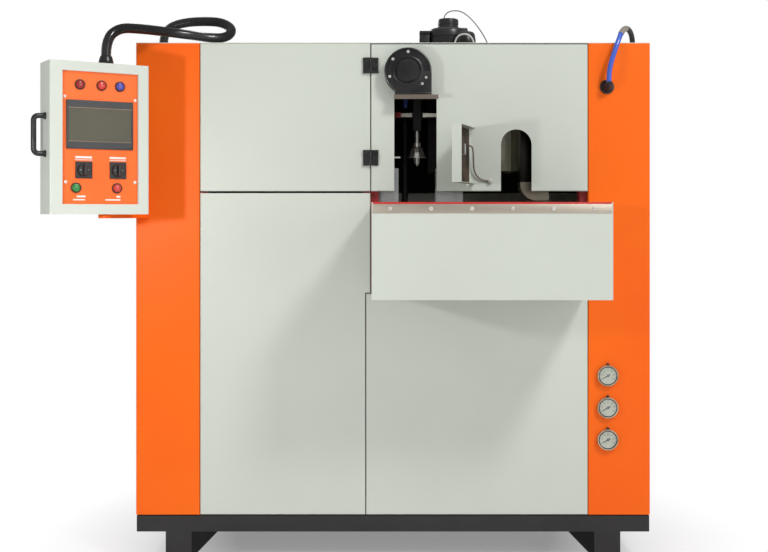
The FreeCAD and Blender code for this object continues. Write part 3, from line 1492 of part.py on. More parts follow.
def mould_half(side):
    """Aluminium half mould with its bottle cavity, bolted to a platen, on two slide bars."""
    face = S.blow_x + side * S.mould_open
    back = face + side * S.mould_thick
    rear_x = back + side * S.platen_thick
    y_low, y_high = S.blow_y - S.mould_deep / 2, S.blow_y + S.mould_deep / 2
    block_x = (face, back) if side > 0 else (back, face)
    platen_x = (back, rear_x) if side > 0 else (rear_x, back)
    block = box((block_x[0], y_low, S.mould_low), (block_x[1], y_high, S.mould_top))
    platen = box(
        (platen_x[0], y_low + S.platen_in, S.mould_low - S.platen_high),
        (platen_x[1], y_high, S.mould_top + S.platen_high),
    )
    cavity_low = S.mould_top - S.cavity_down - S.bottle_tall
    radius = S.bottle_wide / 2
    neck = S.neck_wide / 2
    cavity = turned(
        [
            (0, cavity_low + radius * 0.12),
            (radius * 0.6, cavity_low + radius * 0.12),
            (radius * 0.8, cavity_low),
            (radius, cavity_low + radius * 0.18),
            (radius, cavity_low + S.bottle_tall * 0.6),
            (neck, cavity_low + S.bottle_tall * 0.9),
            (neck, S.mould_top + 1),
            (0, S.mould_top + 1),
        ],
        (face, S.blow_y, 0),
    )
    bores = [slide_bar(bar_y, S.bar_play) for bar_y in bar_places()]
    return without(joined(block, platen), cavity, *bores)


def bar_places():
    reach = S.mould_deep / 2 - S.bar_in
    return (S.blow_y - reach, S.blow_y + reach)


def bar_reach():
    return S.mould_open + S.mould_thick + S.platen_thick + S.bar_end


def slide_bar(y, play):
    reach = bar_reach()
    return rod((S.blow_x - reach, y, S.mould_low + S.bar_up), S.bar_thick / 2 + play, 2 * reach, "X")


def mould_slide():
    """Two slide bars between end plates that stand on the deck."""
    reach = bar_reach()
    bars = [slide_bar(y, 0) for y in bar_places()]
    y_low, y_high = S.blow_y - S.mould_deep / 2, S.blow_y + S.mould_deep / 2
    ends = []
    top = S.mould_low + S.end_plate_high
    for x in (S.blow_x - reach + S.sheet - S.end_plate, S.blow_x + reach - S.sheet):
        ends.append(box((x, y_low, deck_top), (x + S.end_plate, y_high, top)))
    return joined(*bars, *ends)


def blow_guide():
    """Two columns on the deck, the guide plate, and the cylinder barrel that it carries."""
    plate_top = S.guide_plate_z + S.guide_plate_thick
    column_y = S.blow_y + S.mould_deep / 2 + S.guide_column_in
    half, radius = S.barrel_wide / 2, S.guide_column / 2
    plate = box(
        (S.blow_x - S.guide_plate_left, S.blow_y - half, S.guide_plate_z),
        (S.blow_x + S.guide_plate_right, column_y + radius + S.sheet, plate_top),
    )
    margin = radius + 2 * S.sheet
    column_tall = plate_top + radius - deck_top
    places = (S.blow_x - S.guide_plate_left + margin, S.blow_x + S.guide_plate_right - margin)
    columns = [rod((x, column_y, deck_top), radius, column_tall, "Z") for x in places]
    barrel = box(
        (S.blow_x - half, S.blow_y - S.barrel_wide, S.barrel_low),
        (S.blow_x + half, S.blow_y + half, S.barrel_top),
    )
    bore_low = S.barrel_low - 1
    bore_radius = S.blow_rod / 2 + S.bar_play
    bore = rod((S.blow_x, S.blow_y, bore_low), bore_radius, S.barrel_top + 1 - bore_low, "Z")
    return without(joined(plate, barrel, *columns), bore)


def blow_carriage():
    """Hollow chromed rod with the blow bell, its flange and its nozzle."""
    low, tall = S.bell_low, S.bell_tall
    flange, shank = S.bell_wide / 2, S.blow_rod / 2
    nozzle = S.neck_wide / 2 - S.nozzle_play
    profile = [
        (0, low - S.nozzle_tall),
        (nozzle * 0.82, low - S.nozzle_tall),
        (nozzle, low),
        (flange, low),
        (flange, low + tall * 0.08),
        (flange * 0.88, low + tall * 0.1),
        (flange * 0.78, low + tall * 0.35),
        (flange * 0.6, low + tall * 0.63),
        (flange * 0.4, low + tall * 0.73),
        (flange * 0.4, low + tall),
        (shank, low + tall * 1.04),
        (shank, S.shank_top),
        (0, S.shank_top),
    ]
    bell = turned(profile, (S.blow_x, S.blow_y, 0))
    bore_low = low - S.nozzle_tall - 1
    bore_radius = S.stretch_thick / 2 + S.bar_play
    bore = rod((S.blow_x, S.blow_y, bore_low), bore_radius, S.shank_top + 1 - bore_low, "Z")
    return without(bell, bore)


def stretch_rod():
    low = S.bell_low - S.nozzle_tall - S.stretch_tip
    return rod((S.blow_x, S.blow_y, low), S.stretch_thick / 2, S.stretch_long, "Z")


def oven():
    """Insulated housing, open below, with lamps along its right inner wall."""
    x0, x1 = S.oven_left, S.oven_left + S.oven_wide
    y0, y1 = S.oven_front, S.oven_front + S.oven_deep
    wall = S.oven_wall
    shell = box((x0, y0, S.oven_low), (x1, y1, roof_low))
    room = box((x0 + wall, y0 + wall, S.oven_low - 1), (x1 - wall, y1 - wall, roof_low - wall))
    lamp_x = x1 - wall - S.lamp_in
    lamps = []
    for index in range(round(S.lamp_count.number)):
        height = S.oven_low + S.lamp_up + index * S.lamp_step
        lamps.append(rod((lamp_x, y0 + wall / 2, height), S.lamp_thick / 2, S.oven_deep - wall, "Y"))
    return joined(without(shell, room), *lamps)


def outlet_chute():
    """Curved trough behind the arch that lets bottles slide to the apron, on its post."""
    x, z, radius = S.chute_left, S.chute_low, S.chute_radius
    y = post_back + S.chute_back
    turn = Rotation(Vector(1, 0, 0), -90)
    quarters = []
    for reach in (radius, radius - S.sheet):
        quarter = rod((x + radius, y, z + radius), reach, S.chute_wide, "Y")
        quarter.Placement.Rotation = Rotation(Vector(0, 1, 0), 90) * turn
        quarter.Angle = 90
        quarters.append(quarter)
    post_x = x + radius
    lip = box((post_x - S.sheet, y, z), (post_x + S.chute_lip, y + S.chute_wide, z + S.sheet))
    post_wide = S.chute_post
    post_y = y + S.chute_wide / 2 - post_wide / 2
    post_back_y = post_y + post_wide
    post = box((post_x, post_y, deck_top), (post_x + post_wide, post_back_y, z + S.sheet / 2))
    return joined(without(*quarters), lip, post)


# Air receiver and electrical plate ------------------------------------------------------------

def air_receiver():
    """Horizontal tank with dished ends on two saddles."""
    radius = S.tank_wide / 2
    start_x = S.middle_x + S.post / 2 + S.tank_in
    y, z = S.tank_y, S.tank_z
    parts = [rod((start_x, y, z), radius, S.tank_long, "X")]
    dish = S.tank_dish
    ball_radius = (radius * radius / dish + dish) / 2
    left_ball = start_x - dish + ball_radius
    right_ball = start_x + S.tank_long + dish - ball_radius
    for ball_x, turn in ((left_ball, -90), (right_ball, 90)):
        cap = doc.addObject("Part::Sphere", unique("Cap"))
        bind(cap, "Radius", ball_radius)
        cap.setExpression("Angle1", f"asin(1 - {words(dish)} / {words(ball_radius)})")
        place(cap, (ball_x, y, z), Rotation(Vector(0, 1, 0), turn))
        parts.append(cap)
    half = S.saddle_deep / 2
    for x in (start_x + S.saddle_in, start_x + S.tank_long - S.saddle_in - S.saddle_thick):
        parts.append(box((x, y - half, base_top), (x + S.saddle_thick, y + half, z)))
    neck_tall = radius + S.tank_neck_tall
    parts.append(rod((start_x + S.tank_long / 2, y, z), S.tank_neck / 2, neck_tall, "Z"))
    return joined(*parts)


def electrical_plate():
    """Mounting plate on the rear posts with its rails, breakers, ducts and a drive."""
    x0, x1 = frame_left + S.post / 2, S.middle_x
    low = base_top + S.plate_up
    high = low + S.plate_tall
    y = rear_post_front
    face = y - S.plate_thick / 2
    parts = [box((x0, y - S.plate_thick, low), (x1, y, high))]
    rails = [high - S.rail_first - index * S.rail_step for index in range(round(S.rail_count.number))]
    for level in rails:
        half = S.rail_wide / 2
        rail_low_corner = (x0 + S.rail_in, y - S.rail_deep, level - half)
        parts.append(box(rail_low_corner, (x1 - S.rail_in, face, level + half)))
        duct_low = level + S.duct_up
        duct_high = duct_low + S.duct_tall
        parts.append(box((x0 + S.duct_in, y - S.duct_deep, duct_low), (x1 - S.duct_in, face, duct_high)))
    half = S.block_tall / 2
    for level in rails[:-1]:
        for index in range(round(S.block_count.number)):
            x = x0 + S.block_in + index * S.block_step
            low_corner = (x, y - S.block_deep, level - half)
            parts.append(box(low_corner, (x + S.block_wide, y - S.rail_deep / 2, level + half)))
    drive_x, drive_low = x0 + S.block_in, low + S.drive_up
    parts.append(
        box(
            (drive_x, y - S.drive_deep, drive_low),
            (drive_x + S.drive_wide, face, drive_low + S.drive_tall),
        )
    )
    return joined(*parts)


# The pieces -----------------------------------------------------------------------------------

piece("base_frame", base_frame())
for side, side_name in ((-1, "left"), (1, "right")):
    for end, end_name in ((-1, "front"), (1, "rear")):
        piece(f"leg_{end_name}_{side_name}", leg(side, end))
piece("front_frame", front_frame())
piece("rear_frame", rear_frame())
piece("machine_deck", machine_deck())
piece("column_left", column(-1, column_left, []))
hole_wide = S.gauge_body + 2 * S.button_play
gauge_holes = [(gauge_x, height, hole_wide) for height in gauge_heights()]
piece("column_right", column(1, column_right, gauge_holes))
piece("side_panel_left", side_panel(-1))
piece("side_panel_right", side_panel(1))
piece("rear_panel", rear_panel())
piece("roof_panel", roof_panel())
piece("upper_left_panel", upper_left_panel())
piece("lower_left_door", lower_left_door())
piece("lower_right_door", lower_right_door())
piece("guard_door", guard_door())
piece("guard_hinge_fixed_leaves", guard_hinge_leaves(True))
piece("guard_hinge_moving_leaves", guard_hinge_leaves(False))
piece("blower_housing", blower_housing())
piece("blower_impeller", blower_impeller())
piece("blower_shelf", blower_shelf())
piece("apron", apron())
piece("apron_strip", apron_strip())
piece("outlet_flap", outlet_flap())
piece("flap_latch", flap_latch())
piece("bonding_cable", made(plain_tube(CABLE_ROUTE, S.cable_wide.number, "bonding cable")))
piece("pendant_arm", pendant_arm())
piece("pendant_case", pendant_case())
piece("pendant_fascia", pendant_fascia())
piece("touch_panel", touch_panel())
piece("pendant_handle", pendant_handle())
for name, across in zip(("left", "middle", "right"), upper_places):
    piece(f"button_{name}", push_button(across, S.upper_buttons))
for name, across in zip(("start", "stop"), lower_places):
    piece(f"button_{name}", push_button(across, S.lower_buttons))
for name, across in zip(("left", "right"), switch_places):
    piece(f"rotary_switch_{name}", rotary_switch(across))
piece("conduit_gland", conduit_gland())
conduit = ribbed_tube(
    (
        *CONDUIT_ROUTE,
        (collar_x.number, collar_y.number, 1724),
        (collar_x.number, collar_y.number, 1690.3),
    ),
    S.conduit_wide.number,
    S.rib_high.number,
    round(S.rib_count.number),
    "conduit",
)
piece("conduit", made(conduit))
piece("air_fitting", air_fitting())
piece("air_hose", made(plain_tube(AIR_HOSE_ROUTE, S.air_hose_wide.number, "air hose")))
roof_tubes = [
    made(plain_tube(GREY_TUBE_ROUTE, S.grey_tube_wide.number, "grey tube")),
    made(plain_tube(WHITE_TUBE_ROUTE, S.white_tube_wide.number, "white tube")),
]
piece("roof_air_tubes", together(*roof_tubes))
piece("gauge_cases", together(*[gauge_case(height) for height in gauge_heights()]))
for name, height in zip(("upper", "middle", "lower"), gauge_heights()):
    piece(f"gauge_pointer_{name}", gauge_pointer(height))
piece("roof_fan", roof_fan())
piece("mould_slide", mould_slide())
piece("mould_left", mould_half(-1))
piece("mould_right", mould_half(1))
piece("blow_guide", blow_guide())
piece("blow_carriage", blow_carriage())
piece("stretch_rod", stretch_rod())
piece("oven", oven())
piece("outlet_chute", outlet_chute())
piece("air_receiver", air_receiver())
piece("electrical_plate", electrical_plate())

doc.recompute()
for item in doc.Objects:
    if "Invalid" in item.State or "Error" in item.State:
        raise ValueError(f"{item.Name} ({item.Label}) failed: {item.State}")
for item in pieces:
    if item.Shape.isNull() or not item.Shape.isValid():
        raise ValueError(f"{item.Label} has no valid shape")

os.makedirs("parts", exist_ok=True)
for item in pieces:
    item.Shape.exportStep(f"parts/{item.Label}.step")
print(len(pieces), "pieces written")
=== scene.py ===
import math
import bmesh
import bpy
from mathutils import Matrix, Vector


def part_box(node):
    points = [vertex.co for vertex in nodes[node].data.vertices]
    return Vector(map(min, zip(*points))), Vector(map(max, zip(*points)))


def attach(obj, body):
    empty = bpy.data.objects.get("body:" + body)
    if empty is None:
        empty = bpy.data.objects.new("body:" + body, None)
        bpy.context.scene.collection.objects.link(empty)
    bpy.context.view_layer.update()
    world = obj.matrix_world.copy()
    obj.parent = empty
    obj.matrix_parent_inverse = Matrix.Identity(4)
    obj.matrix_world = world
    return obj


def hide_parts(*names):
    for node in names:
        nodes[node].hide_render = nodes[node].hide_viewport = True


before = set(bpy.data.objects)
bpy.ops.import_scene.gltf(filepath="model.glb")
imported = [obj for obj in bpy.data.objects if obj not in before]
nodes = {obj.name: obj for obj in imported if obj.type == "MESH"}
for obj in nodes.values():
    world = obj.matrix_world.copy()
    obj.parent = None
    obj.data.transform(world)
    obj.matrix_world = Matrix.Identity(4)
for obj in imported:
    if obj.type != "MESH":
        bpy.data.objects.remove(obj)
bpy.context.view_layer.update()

# ---- Studio ----
# The machine stands on a plain pale floor before a white background, seen from straight in
# front. Seen from the eye, the floor also glows white: fully from WHITE_FROM out, and by
# LEAST_WHITE even under the machine, which paints its shadow there lighter. The light is soft,
# from the upper right, the rear and the right, and a small near lamp on the left throws the
# shadows of the pendant and the flap.

EYE = (0.0, -4.076, 1.1198)
FRAME_WIDE, LENS_PIXELS = 768, 1153
HORIZON_ABOVE_MIDDLE, AXIS_RIGHT_OF_MIDDLE = 62, 9
WHITE, FLOOR_PALE = (1, 1, 1, 1), (0.93, 0.93, 0.94, 1)
AMBIENT = 0.44
FLOOR_WIDE, SHADOW_REACH, WHITE_FROM, LEAST_WHITE = 14, 0.55, 1.22, 0.26


def feed(node, inputs):
    """Sets a node's inputs to plain values, or links them to an output or a node's main output."""
    for socket, value in inputs.items():
        if isinstance(value, bpy.types.Node):
            value = next(output for output in value.outputs if output.enabled)
        if isinstance(value, bpy.types.NodeSocket):
            node.id_data.links.new(value, node.inputs[socket])
        else:
            node.inputs[socket].default_value = value
    return node


def add_node(tree, kind, inputs=None, **options):
    """One new shader node with its options and its inputs."""
    node = tree.nodes.new("ShaderNode" + kind)
    for option, value in options.items():
        setattr(node, option, value)
    return feed(node, inputs or {})


def remap(tree, value, start=(0, 1), end=(0, 1)):
    """A value that is stretched from one range to another."""
    lows = {"From Min": start[0], "To Min": end[0]}
    return add_node(tree, "MapRange", {"Value": value, "From Max": start[1], "To Max": end[1], **lows})


def new_surface(name):
    """A new material and its node tree."""
    material = bpy.data.materials.new(name)
    material.use_nodes = True
    return material, material.node_tree


camera_data = bpy.data.cameras.new("view")
camera_data.sensor_width = 36
camera_data.lens = camera_data.sensor_width * LENS_PIXELS / FRAME_WIDE
camera_data.shift_x = -AXIS_RIGHT_OF_MIDDLE / FRAME_WIDE
camera_data.shift_y = -HORIZON_ABOVE_MIDDLE / FRAME_WIDE
camera = bpy.data.objects.new("view", camera_data)
camera.location = EYE
camera.rotation_euler = (math.radians(90), 0, 0)
bpy.context.collection.objects.link(camera)
bpy.context.scene.camera = camera
bpy.context.scene.view_settings.view_transform = "Standard"

world = bpy.data.worlds.new("studio")
world.use_nodes = True
bpy.context.scene.world = world
tree = world.node_tree
rays = add_node(tree, "LightPath").outputs
seen = add_node(
    tree, "Math", {0: rays["Is Camera Ray"], 1: rays["Is Transmission Ray"]}, operation="MAXIMUM"
)
brightness = remap(tree, seen, end=(AMBIENT, 1))
feed(tree.nodes["Background"], {"Color": WHITE, "Strength": brightness})

for name, place, aim, wide, power in (
    ("upper_lamp", (2.5, -3.6, 4.6), (0.15, -0.4, 0.7), 0.9, 122),
    ("rear_lamp", (-2.4, 4.2, 3.4), (0.0, 0.4, 0.9), 1.6, 55),
    ("right_lamp", (3.3, -4.4, 2.0), (0.5, -0.4, 1.2), 2.0, 27),
    ("near_left_lamp", (-1.23, -1.815, 1.22), (0.1, -0.4, 0.9), 0.1, 8.5),
):
    lamp = bpy.data.lights.new(name, "AREA")
    lamp.size = wide
    lamp.energy = power
    holder = bpy.data.objects.new(name, lamp)
    holder.location = place
    holder.rotation_euler = (Vector(aim) - Vector(place)).to_track_quat("-Z", "Y").to_euler()
    holder.visible_camera = False
    bpy.context.collection.objects.link(holder)

bpy.ops.mesh.primitive_plane_add(size=FLOOR_WIDE)
floor = bpy.context.object
floor.name = "floor"
ground, tree = new_surface("pale_floor")
tree.nodes.clear()
lit = add_node(tree, "BsdfDiffuse", {"Color": FLOOR_PALE})
# Painted light: this glow is mixed in for the eye only and lightens the machine's shadow on the floor.
plain = add_node(tree, "Emission")
spot = add_node(tree, "TexCoord").outputs["Object"]
distance = add_node(tree, "VectorMath", {0: spot}, operation="LENGTH")
whiter = remap(tree, distance, (SHADOW_REACH, WHITE_FROM), (LEAST_WHITE, 1))
eye_ray = add_node(tree, "LightPath").outputs["Is Camera Ray"]
share = add_node(tree, "Math", {0: whiter, 1: eye_ray}, operation="MULTIPLY")
blend = add_node(tree, "MixShader", {"Fac": share, 1: lit, 2: plain})
add_node(tree, "OutputMaterial", {"Surface": blend})
floor.data.materials.append(ground)

# ---- Corrugated conduit ----
# Black polyamide conduit that takes the wires from the pendant over the roof. It leaves the
# gland upwards, swings back in a loop and goes down into a collar. One rib is drawn from a
# circle, repeated, and laid along the route.

CONDUIT_ROUTE = (
    (-0.87, -0.58, 1.5993), (-0.87, -0.58, 1.65), (-0.838, -0.548, 1.69),
    (-0.79, -0.47, 1.699), (-0.735, -0.393, 1.703), (-0.67, -0.35, 1.7),
    (-0.6, -0.335, 1.691), (-0.545, -0.3, 1.696), (-0.53, -0.245, 1.732),
    (-0.575, -0.2, 1.765), (-0.65, -0.178, 1.771), (-0.712, -0.166, 1.768),
    (-0.76, -0.158, 1.754), (-0.78, -0.155, 1.724), (-0.78, -0.155, 1.6903),
)
CONDUIT_WIDE, CONDUIT_LONG = 0.031, 0.895
RIB_HIGH, RIB_STEP, RIB_SIDES = 0.0022, 0.0044, 20
COAT_ROUGH, RELIEF_STRENGTH = 0.12, 0.6
PATCH_RANGE, GLOSS_RANGE, GRAIN_SHARE = (0.36, 0.68), (0.45, 0.9), 0.35


def cord_line(name, route, wide=0.0):
    """One open NURBS spline with the route's points, as a round tube where it has a width."""
    line = bpy.data.curves.new(name, "CURVE")
    line.dimensions = "3D"
    line.resolution_u = 12
    line.bevel_depth = wide / 2
    line.bevel_resolution = 6
    line.use_fill_caps = wide > 0
    spline = line.splines.new("NURBS")
    spline.points.add(len(route) - 1)
    for point, spot in zip(spline.points, route):
        point.co = (*spot, 1)
    spline.order_u = 3
    spline.use_endpoint_u = True
    cord = bpy.data.objects.new(name, line)
    bpy.context.collection.objects.link(cord)
    return cord


def choose(*pieces):
    """Selects these pieces alone and makes the first one active."""
    bpy.ops.object.select_all(action="DESELECT")
    for piece in pieces:
        piece.select_set(True)
    if pieces:
        bpy.context.view_layer.objects.active = pieces[0]


def bake(*pieces):
    """Puts each object's place, turn and size into its mesh, and the object at the origin."""
    choose(*pieces)
    bpy.ops.object.transform_apply(location=True, rotation=True, scale=True)
    return pieces[0]


def shape_by(piece, kind, **settings):
    """Applies one modifier to a piece."""
    choose(piece)
    modifier = piece.modifiers.new(kind, kind)
    for setting, value in settings.items():
        setattr(modifier, setting, value)
    bpy.ops.object.modifier_apply(modifier=modifier.name)
    return piece


def edit(piece, chosen=None, level="FACE"):
    """Opens one piece in edit mode with the chosen faces, edges or points selected, or all of it."""
    choose(piece)
    bpy.ops.object.mode_set(mode="EDIT")
    bpy.ops.mesh.select_mode(type=level)
    bpy.ops.mesh.select_all(action="DESELECT" if chosen else "SELECT")
    if chosen:
        mesh = bmesh.from_edit_mesh(piece.data)
        for part in {"FACE": mesh.faces, "EDGE": mesh.edges}[level]:
            if chosen(part):
                part.select_set(True)
        mesh.select_flush_mode()
        bmesh.update_edit_mesh(piece.data)


def close():
    """Leaves edit mode."""
    bpy.ops.object.mode_set(mode="OBJECT")


def pull(*way, extrude=bpy.ops.mesh.extrude_region_move):
    """Extrudes what is selected along a way."""
    extrude(TRANSFORM_OT_translate={"value": way})


def settle(piece, name, angle=35):
    """Leaves edit mode, puts the object at the origin and smooths its round faces."""
    if bpy.context.mode == "EDIT_MESH":
        bpy.ops.mesh.select_all(action="SELECT")
        bpy.ops.mesh.remove_doubles(threshold=1e-6)
        bpy.ops.mesh.normals_make_consistent(inside=False)
        close()
    bake(piece)
    bpy.ops.object.shade_smooth_by_angle(angle=math.radians(angle))
    piece.name = name
    return piece


def effect_group(name, inputs, outputs):
    """An empty group with named sockets, and what its input node puts out."""
    group = bpy.data.node_groups.new(name, "ShaderNodeTree")
    for way, words in (("INPUT", inputs), ("OUTPUT", outputs)):
        for word in words:
            kind = "NodeSocketColor" if "Colour" in word else "NodeSocketFloat"
            group.interface.new_socket(word, in_out=way, socket_type=kind)
    return group, group.nodes.new("NodeGroupInput").outputs


def surface_variation():
    """Group: slow patches between two colours, a fine grain, and a roughness that follows both."""
    group, given = effect_group(
        "surface_variation",
        ("Colour", "Aged Colour", "Patch Scale", "Grain Scale", "Smoothest", "Roughest"),
        ("Colour", "Roughness", "Height"),
    )
    spot = add_node(group, "TexCoord").outputs["Object"]
    patches = add_node(group, "TexNoise", {"Vector": spot, "Scale": given["Patch Scale"], "Detail": 5})
    grain = add_node(group, "TexNoise", {"Vector": spot, "Scale": given["Grain Scale"], "Detail": 2})
    patched = remap(group, patches, PATCH_RANGE)
    tones = {"Factor": patched, "A": given["Colour"], "B": given["Aged Colour"]}
    colours = add_node(group, "Mix", tones, data_type="RGBA")
    both = add_node(group, "Math", {0: grain, 1: GRAIN_SHARE, 2: patches}, operation="MULTIPLY_ADD")
    rough = remap(group, both, GLOSS_RANGE, (given["Smoothest"], given["Roughest"]))
    feed(group.nodes.new("NodeGroupOutput"), {"Colour": colours, "Roughness": rough, "Height": grain})
    return group


VARIATION = surface_variation()


def finish(
    name, colour, aged, rough, patch=3.0, grain=700.0, relief=0.0, metal=0.0, coat=0.0, gleam=0.5
):
    """A surface with slow colour changes, a fine grain that may stand up, and an uneven gloss."""
    material, tree = new_surface(name)
    look = add_node(tree, "Group", node_tree=VARIATION)
    feed(look, {"Colour": (*colour, 1), "Aged Colour": (*aged, 1)})
    feed(look, {"Patch Scale": patch, "Grain Scale": grain, "Smoothest": rough[0], "Roughest": rough[1]})
    shader = tree.nodes["Principled BSDF"]
    feed(shader, {"Base Color": look.outputs["Colour"], "Roughness": look.outputs["Roughness"]})
    feed(shader, {"Metallic": metal, "Specular IOR Level": gleam})
    feed(shader, {"Coat Weight": coat, "Coat Roughness": COAT_ROUGH})
    if relief:
        peel = {"Strength": RELIEF_STRENGTH, "Distance": relief, "Height": look.outputs["Height"]}
        feed(shader, {"Normal": add_node(tree, "Bump", peel)})
    return material


def belongs(piece, material, slot, body="frame", *stands_for):
    """Gives one new piece its finish and carrying body, and hides the CAD nodes it stands for. The slot is
    not used.
    """
    piece.data.materials.clear()
    piece.data.materials.append(material)
    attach(piece, body)
    if stands_for:
        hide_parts(*stands_for)
    return piece


conduit_line = cord_line("conduit_line", CONDUIT_ROUTE)
bare_line = conduit_line.evaluated_get(bpy.context.evaluated_depsgraph_get())
line_mesh = bpy.data.meshes.new_from_object(bare_line)
conduit_path = [vertex.co.copy() for vertex in line_mesh.vertices]
bpy.data.meshes.remove(line_mesh)
conduit_length = sum((b - a).length for a, b in zip(conduit_path, conduit_path[1:]))
rib_count = round(conduit_length / RIB_STEP)
rib_step = conduit_length / rib_count
rib_root = CONDUIT_WIDE / 2 - RIB_HIGH
crest = CONDUIT_WIDE / 2 / rib_root

choose()
bpy.ops.mesh.primitive_circle_add(
    vertices=RIB_SIDES, radius=rib_root, fill_type="NOTHING", rotation=(0, math.radians(90), 0)
)
conduit = bake(bpy.context.object)
edit(conduit, level="VERT")
along = 0.0
for part_of_step, growth in ((0.22, 1.0), (0.1, crest), (0.36, 1.0), (0.1, 1 / crest), (0.22, 1.0)):
    along += part_of_step * rib_step
    pull(part_of_step * rib_step, 0, 0, extrude=bpy.ops.mesh.extrude_edges_move)
    bpy.ops.transform.resize(value=(1, growth, growth), center_override=(along, 0, 0))
close()
step_on = {"use_relative_offset": False, "use_constant_offset": True}
join_ribs = {"use_merge_vertices": True, "merge_threshold": 0.00005}
step_on["constant_offset_displace"] = (rib_step, 0, 0)
shape_by(conduit, "ARRAY", count=rib_count, **step_on, **join_ribs)
shape_by(conduit, "CURVE", object=conduit_line, deform_axis="POS_X")
edit(conduit, lambda part: part.is_boundary, "EDGE")
bpy.ops.mesh.edge_face_add()
settle(conduit, "pendant_conduit", 50)
bpy.data.objects.remove(conduit_line)

conduit_black = finish(
    "conduit_polyamide", (0.01, 0.01, 0.011), (0.02, 0.02, 0.021), (0.16, 0.26), 9, 900, gleam=0.9
)
belongs(conduit, conduit_black, "black_plastic", "frame", "conduit")

# ---- Air hose ----
# Blue polyurethane hose from the elbow on the right column over the edge of the roof. A braided
# sleeve covers its bend and a black one its end. Each is one tube drawn along the route.

AIR_HOSE_ROUTE = (
    (0.6866, -0.41, 1.5403), (0.6866, -0.41, 1.566), (0.692, -0.411, 1.598),
    (0.705, -0.403, 1.635), (0.719, -0.394, 1.672), (0.734, -0.376, 1.706),
    (0.757, -0.334, 1.725), (0.781, -0.287, 1.718), (0.794, -0.254, 1.695),
    (0.794, -0.254, 1.6703),
)
AIR_HOSE_WIDE, AIR_HOSE_LONG = 0.016, 0.347
SLEEVE_WIDE, END_SLEEVE_WIDE = 0.0185, 0.0175
SLEEVE_FROM, SLEEVE_TO, SLEEVE_END = 0.53, 0.68, 0.985

sleeve_metal = finish(
    "hose_sleeve", (0.55, 0.48, 0.4), (0.38, 0.34, 0.3), (0.3, 0.42), 40, 900, 0.00006, 0.7
)
sleeve_rubber = finish(
    "sleeve_rubber", (0.02, 0.018, 0.018), (0.038, 0.034, 0.033), (0.36, 0.5), 40, 900, 0.00004
)
for name, start, stop, wide, material, slot_name in (
    ("air_hose_sleeve", SLEEVE_FROM, SLEEVE_TO, SLEEVE_WIDE, sleeve_metal, "chrome"),
    ("air_hose_end_sleeve", SLEEVE_TO, SLEEVE_END, END_SLEEVE_WIDE, sleeve_rubber, "black_plastic"),
):
    sleeve = cord_line(name, AIR_HOSE_ROUTE, wide)
    sleeve.data.bevel_factor_start = start
    sleeve.data.bevel_factor_end = stop
    choose(sleeve)
    bpy.ops.object.convert(target="MESH")
    belongs(settle(sleeve, name, 50), material, slot_name, "frame")

hose_blue = finish("blue_hose", (0.028, 0.085, 0.52), (0.05, 0.14, 0.62), (0.16, 0.26), 14, 400, coat=0.4)
air_hose = cord_line("blue_air_hose", AIR_HOSE_ROUTE, AIR_HOSE_WIDE)
belongs(air_hose, hose_blue, "blue_hose", "frame", "air_hose")

# ---- Small air tubes on the roof ----
# Two thin tubes: a grey one from the fan motor down to the roof, and a white one in front of
# the filter bowl. Each is one soft tube drawn along its route.

GREY_TUBE_ROUTE = (
    (0.178, -0.06, 1.7983), (0.178, -0.06, 1.812), (0.2, -0.063, 1.828),
    (0.238, -0.066, 1.826), (0.273, -0.068, 1.798), (0.304, -0.07, 1.758),
    (0.328, -0.072, 1.716), (0.334, -0.073, 1.69), (0.334, -0.073, 1.6703),
)
WHITE_TUBE_ROUTE = (
    (0.206, -0.19, 1.6703), (0.206, -0.19, 1.7), (0.224, -0.192, 1.726),
    (0.256, -0.192, 1.726), (0.274, -0.19, 1.7), (0.274, -0.19, 1.6703),
)
for name, route, long, wide, colour, aged in (
    ("grey_air_tube", GREY_TUBE_ROUTE, 0.266, 0.004, (0.19, 0.18, 0.17), (0.26, 0.24, 0.23)),
    ("white_air_tube", WHITE_TUBE_ROUTE, 0.149, 0.006, (0.62, 0.62, 0.6), (0.5, 0.5, 0.48)),
):
    tube = cord_line(name, route, wide)
    tube_plastic = finish(name, colour, aged, (0.3, 0.42), 20, 600)
    belongs(tube, tube_plastic, "tube_plastic", "frame", "roof_air_tubes")

# ---- Bonding cable ----
# Braided earth cable from the pivot of the open outlet flap to a ring terminal on a stud of the
# guard door. The braid is a fine relief in the cable's own surface.

CABLE_ROUTE = (
    (0.24144, -0.39058, 1.338), (0.25291, -0.39408, 1.338), (0.2565, -0.393, 1.318),
    (0.257, -0.391, 1.294), (0.258, -0.387, 1.266), (0.265, -0.384, 1.245),
    (0.281, -0.381, 1.231), (0.298, -0.3795, 1.226), (0.3068, -0.3795, 1.226),
)
CABLE_WIDE, CABLE_LONG = 0.005, 0.152

cable_metal = finish(
    "braided_cable", (0.3, 0.245, 0.2), (0.16, 0.12, 0.1), (0.3, 0.5), 60, 1400, 0.0003, 0.75
)
bonding_cable = cord_line("flap_bonding_cable", CABLE_ROUTE, CABLE_WIDE)
belongs(bonding_cable, cable_metal, "cable_steel", "guard_door", "bonding_cable")

# ---- Base and legs ----
# Folded steel channel with a floor plate on four folded legs, all painted satin black, with the
# dust of the hall on everything that faces up. The gussets of the legs get almost no gleam, which
# paints the shade that falls on them where they are set back.

HALL_DUST, DUST_PATCH, DUST_RANGE = (0.34, 0.33, 0.31, 1), 7.0, (0.3, 0.9)
GUSSET_WITHIN, GUSSET_SHADE_GLEAM, LEG_GLEAM = 0.6467, 0.04, 0.5


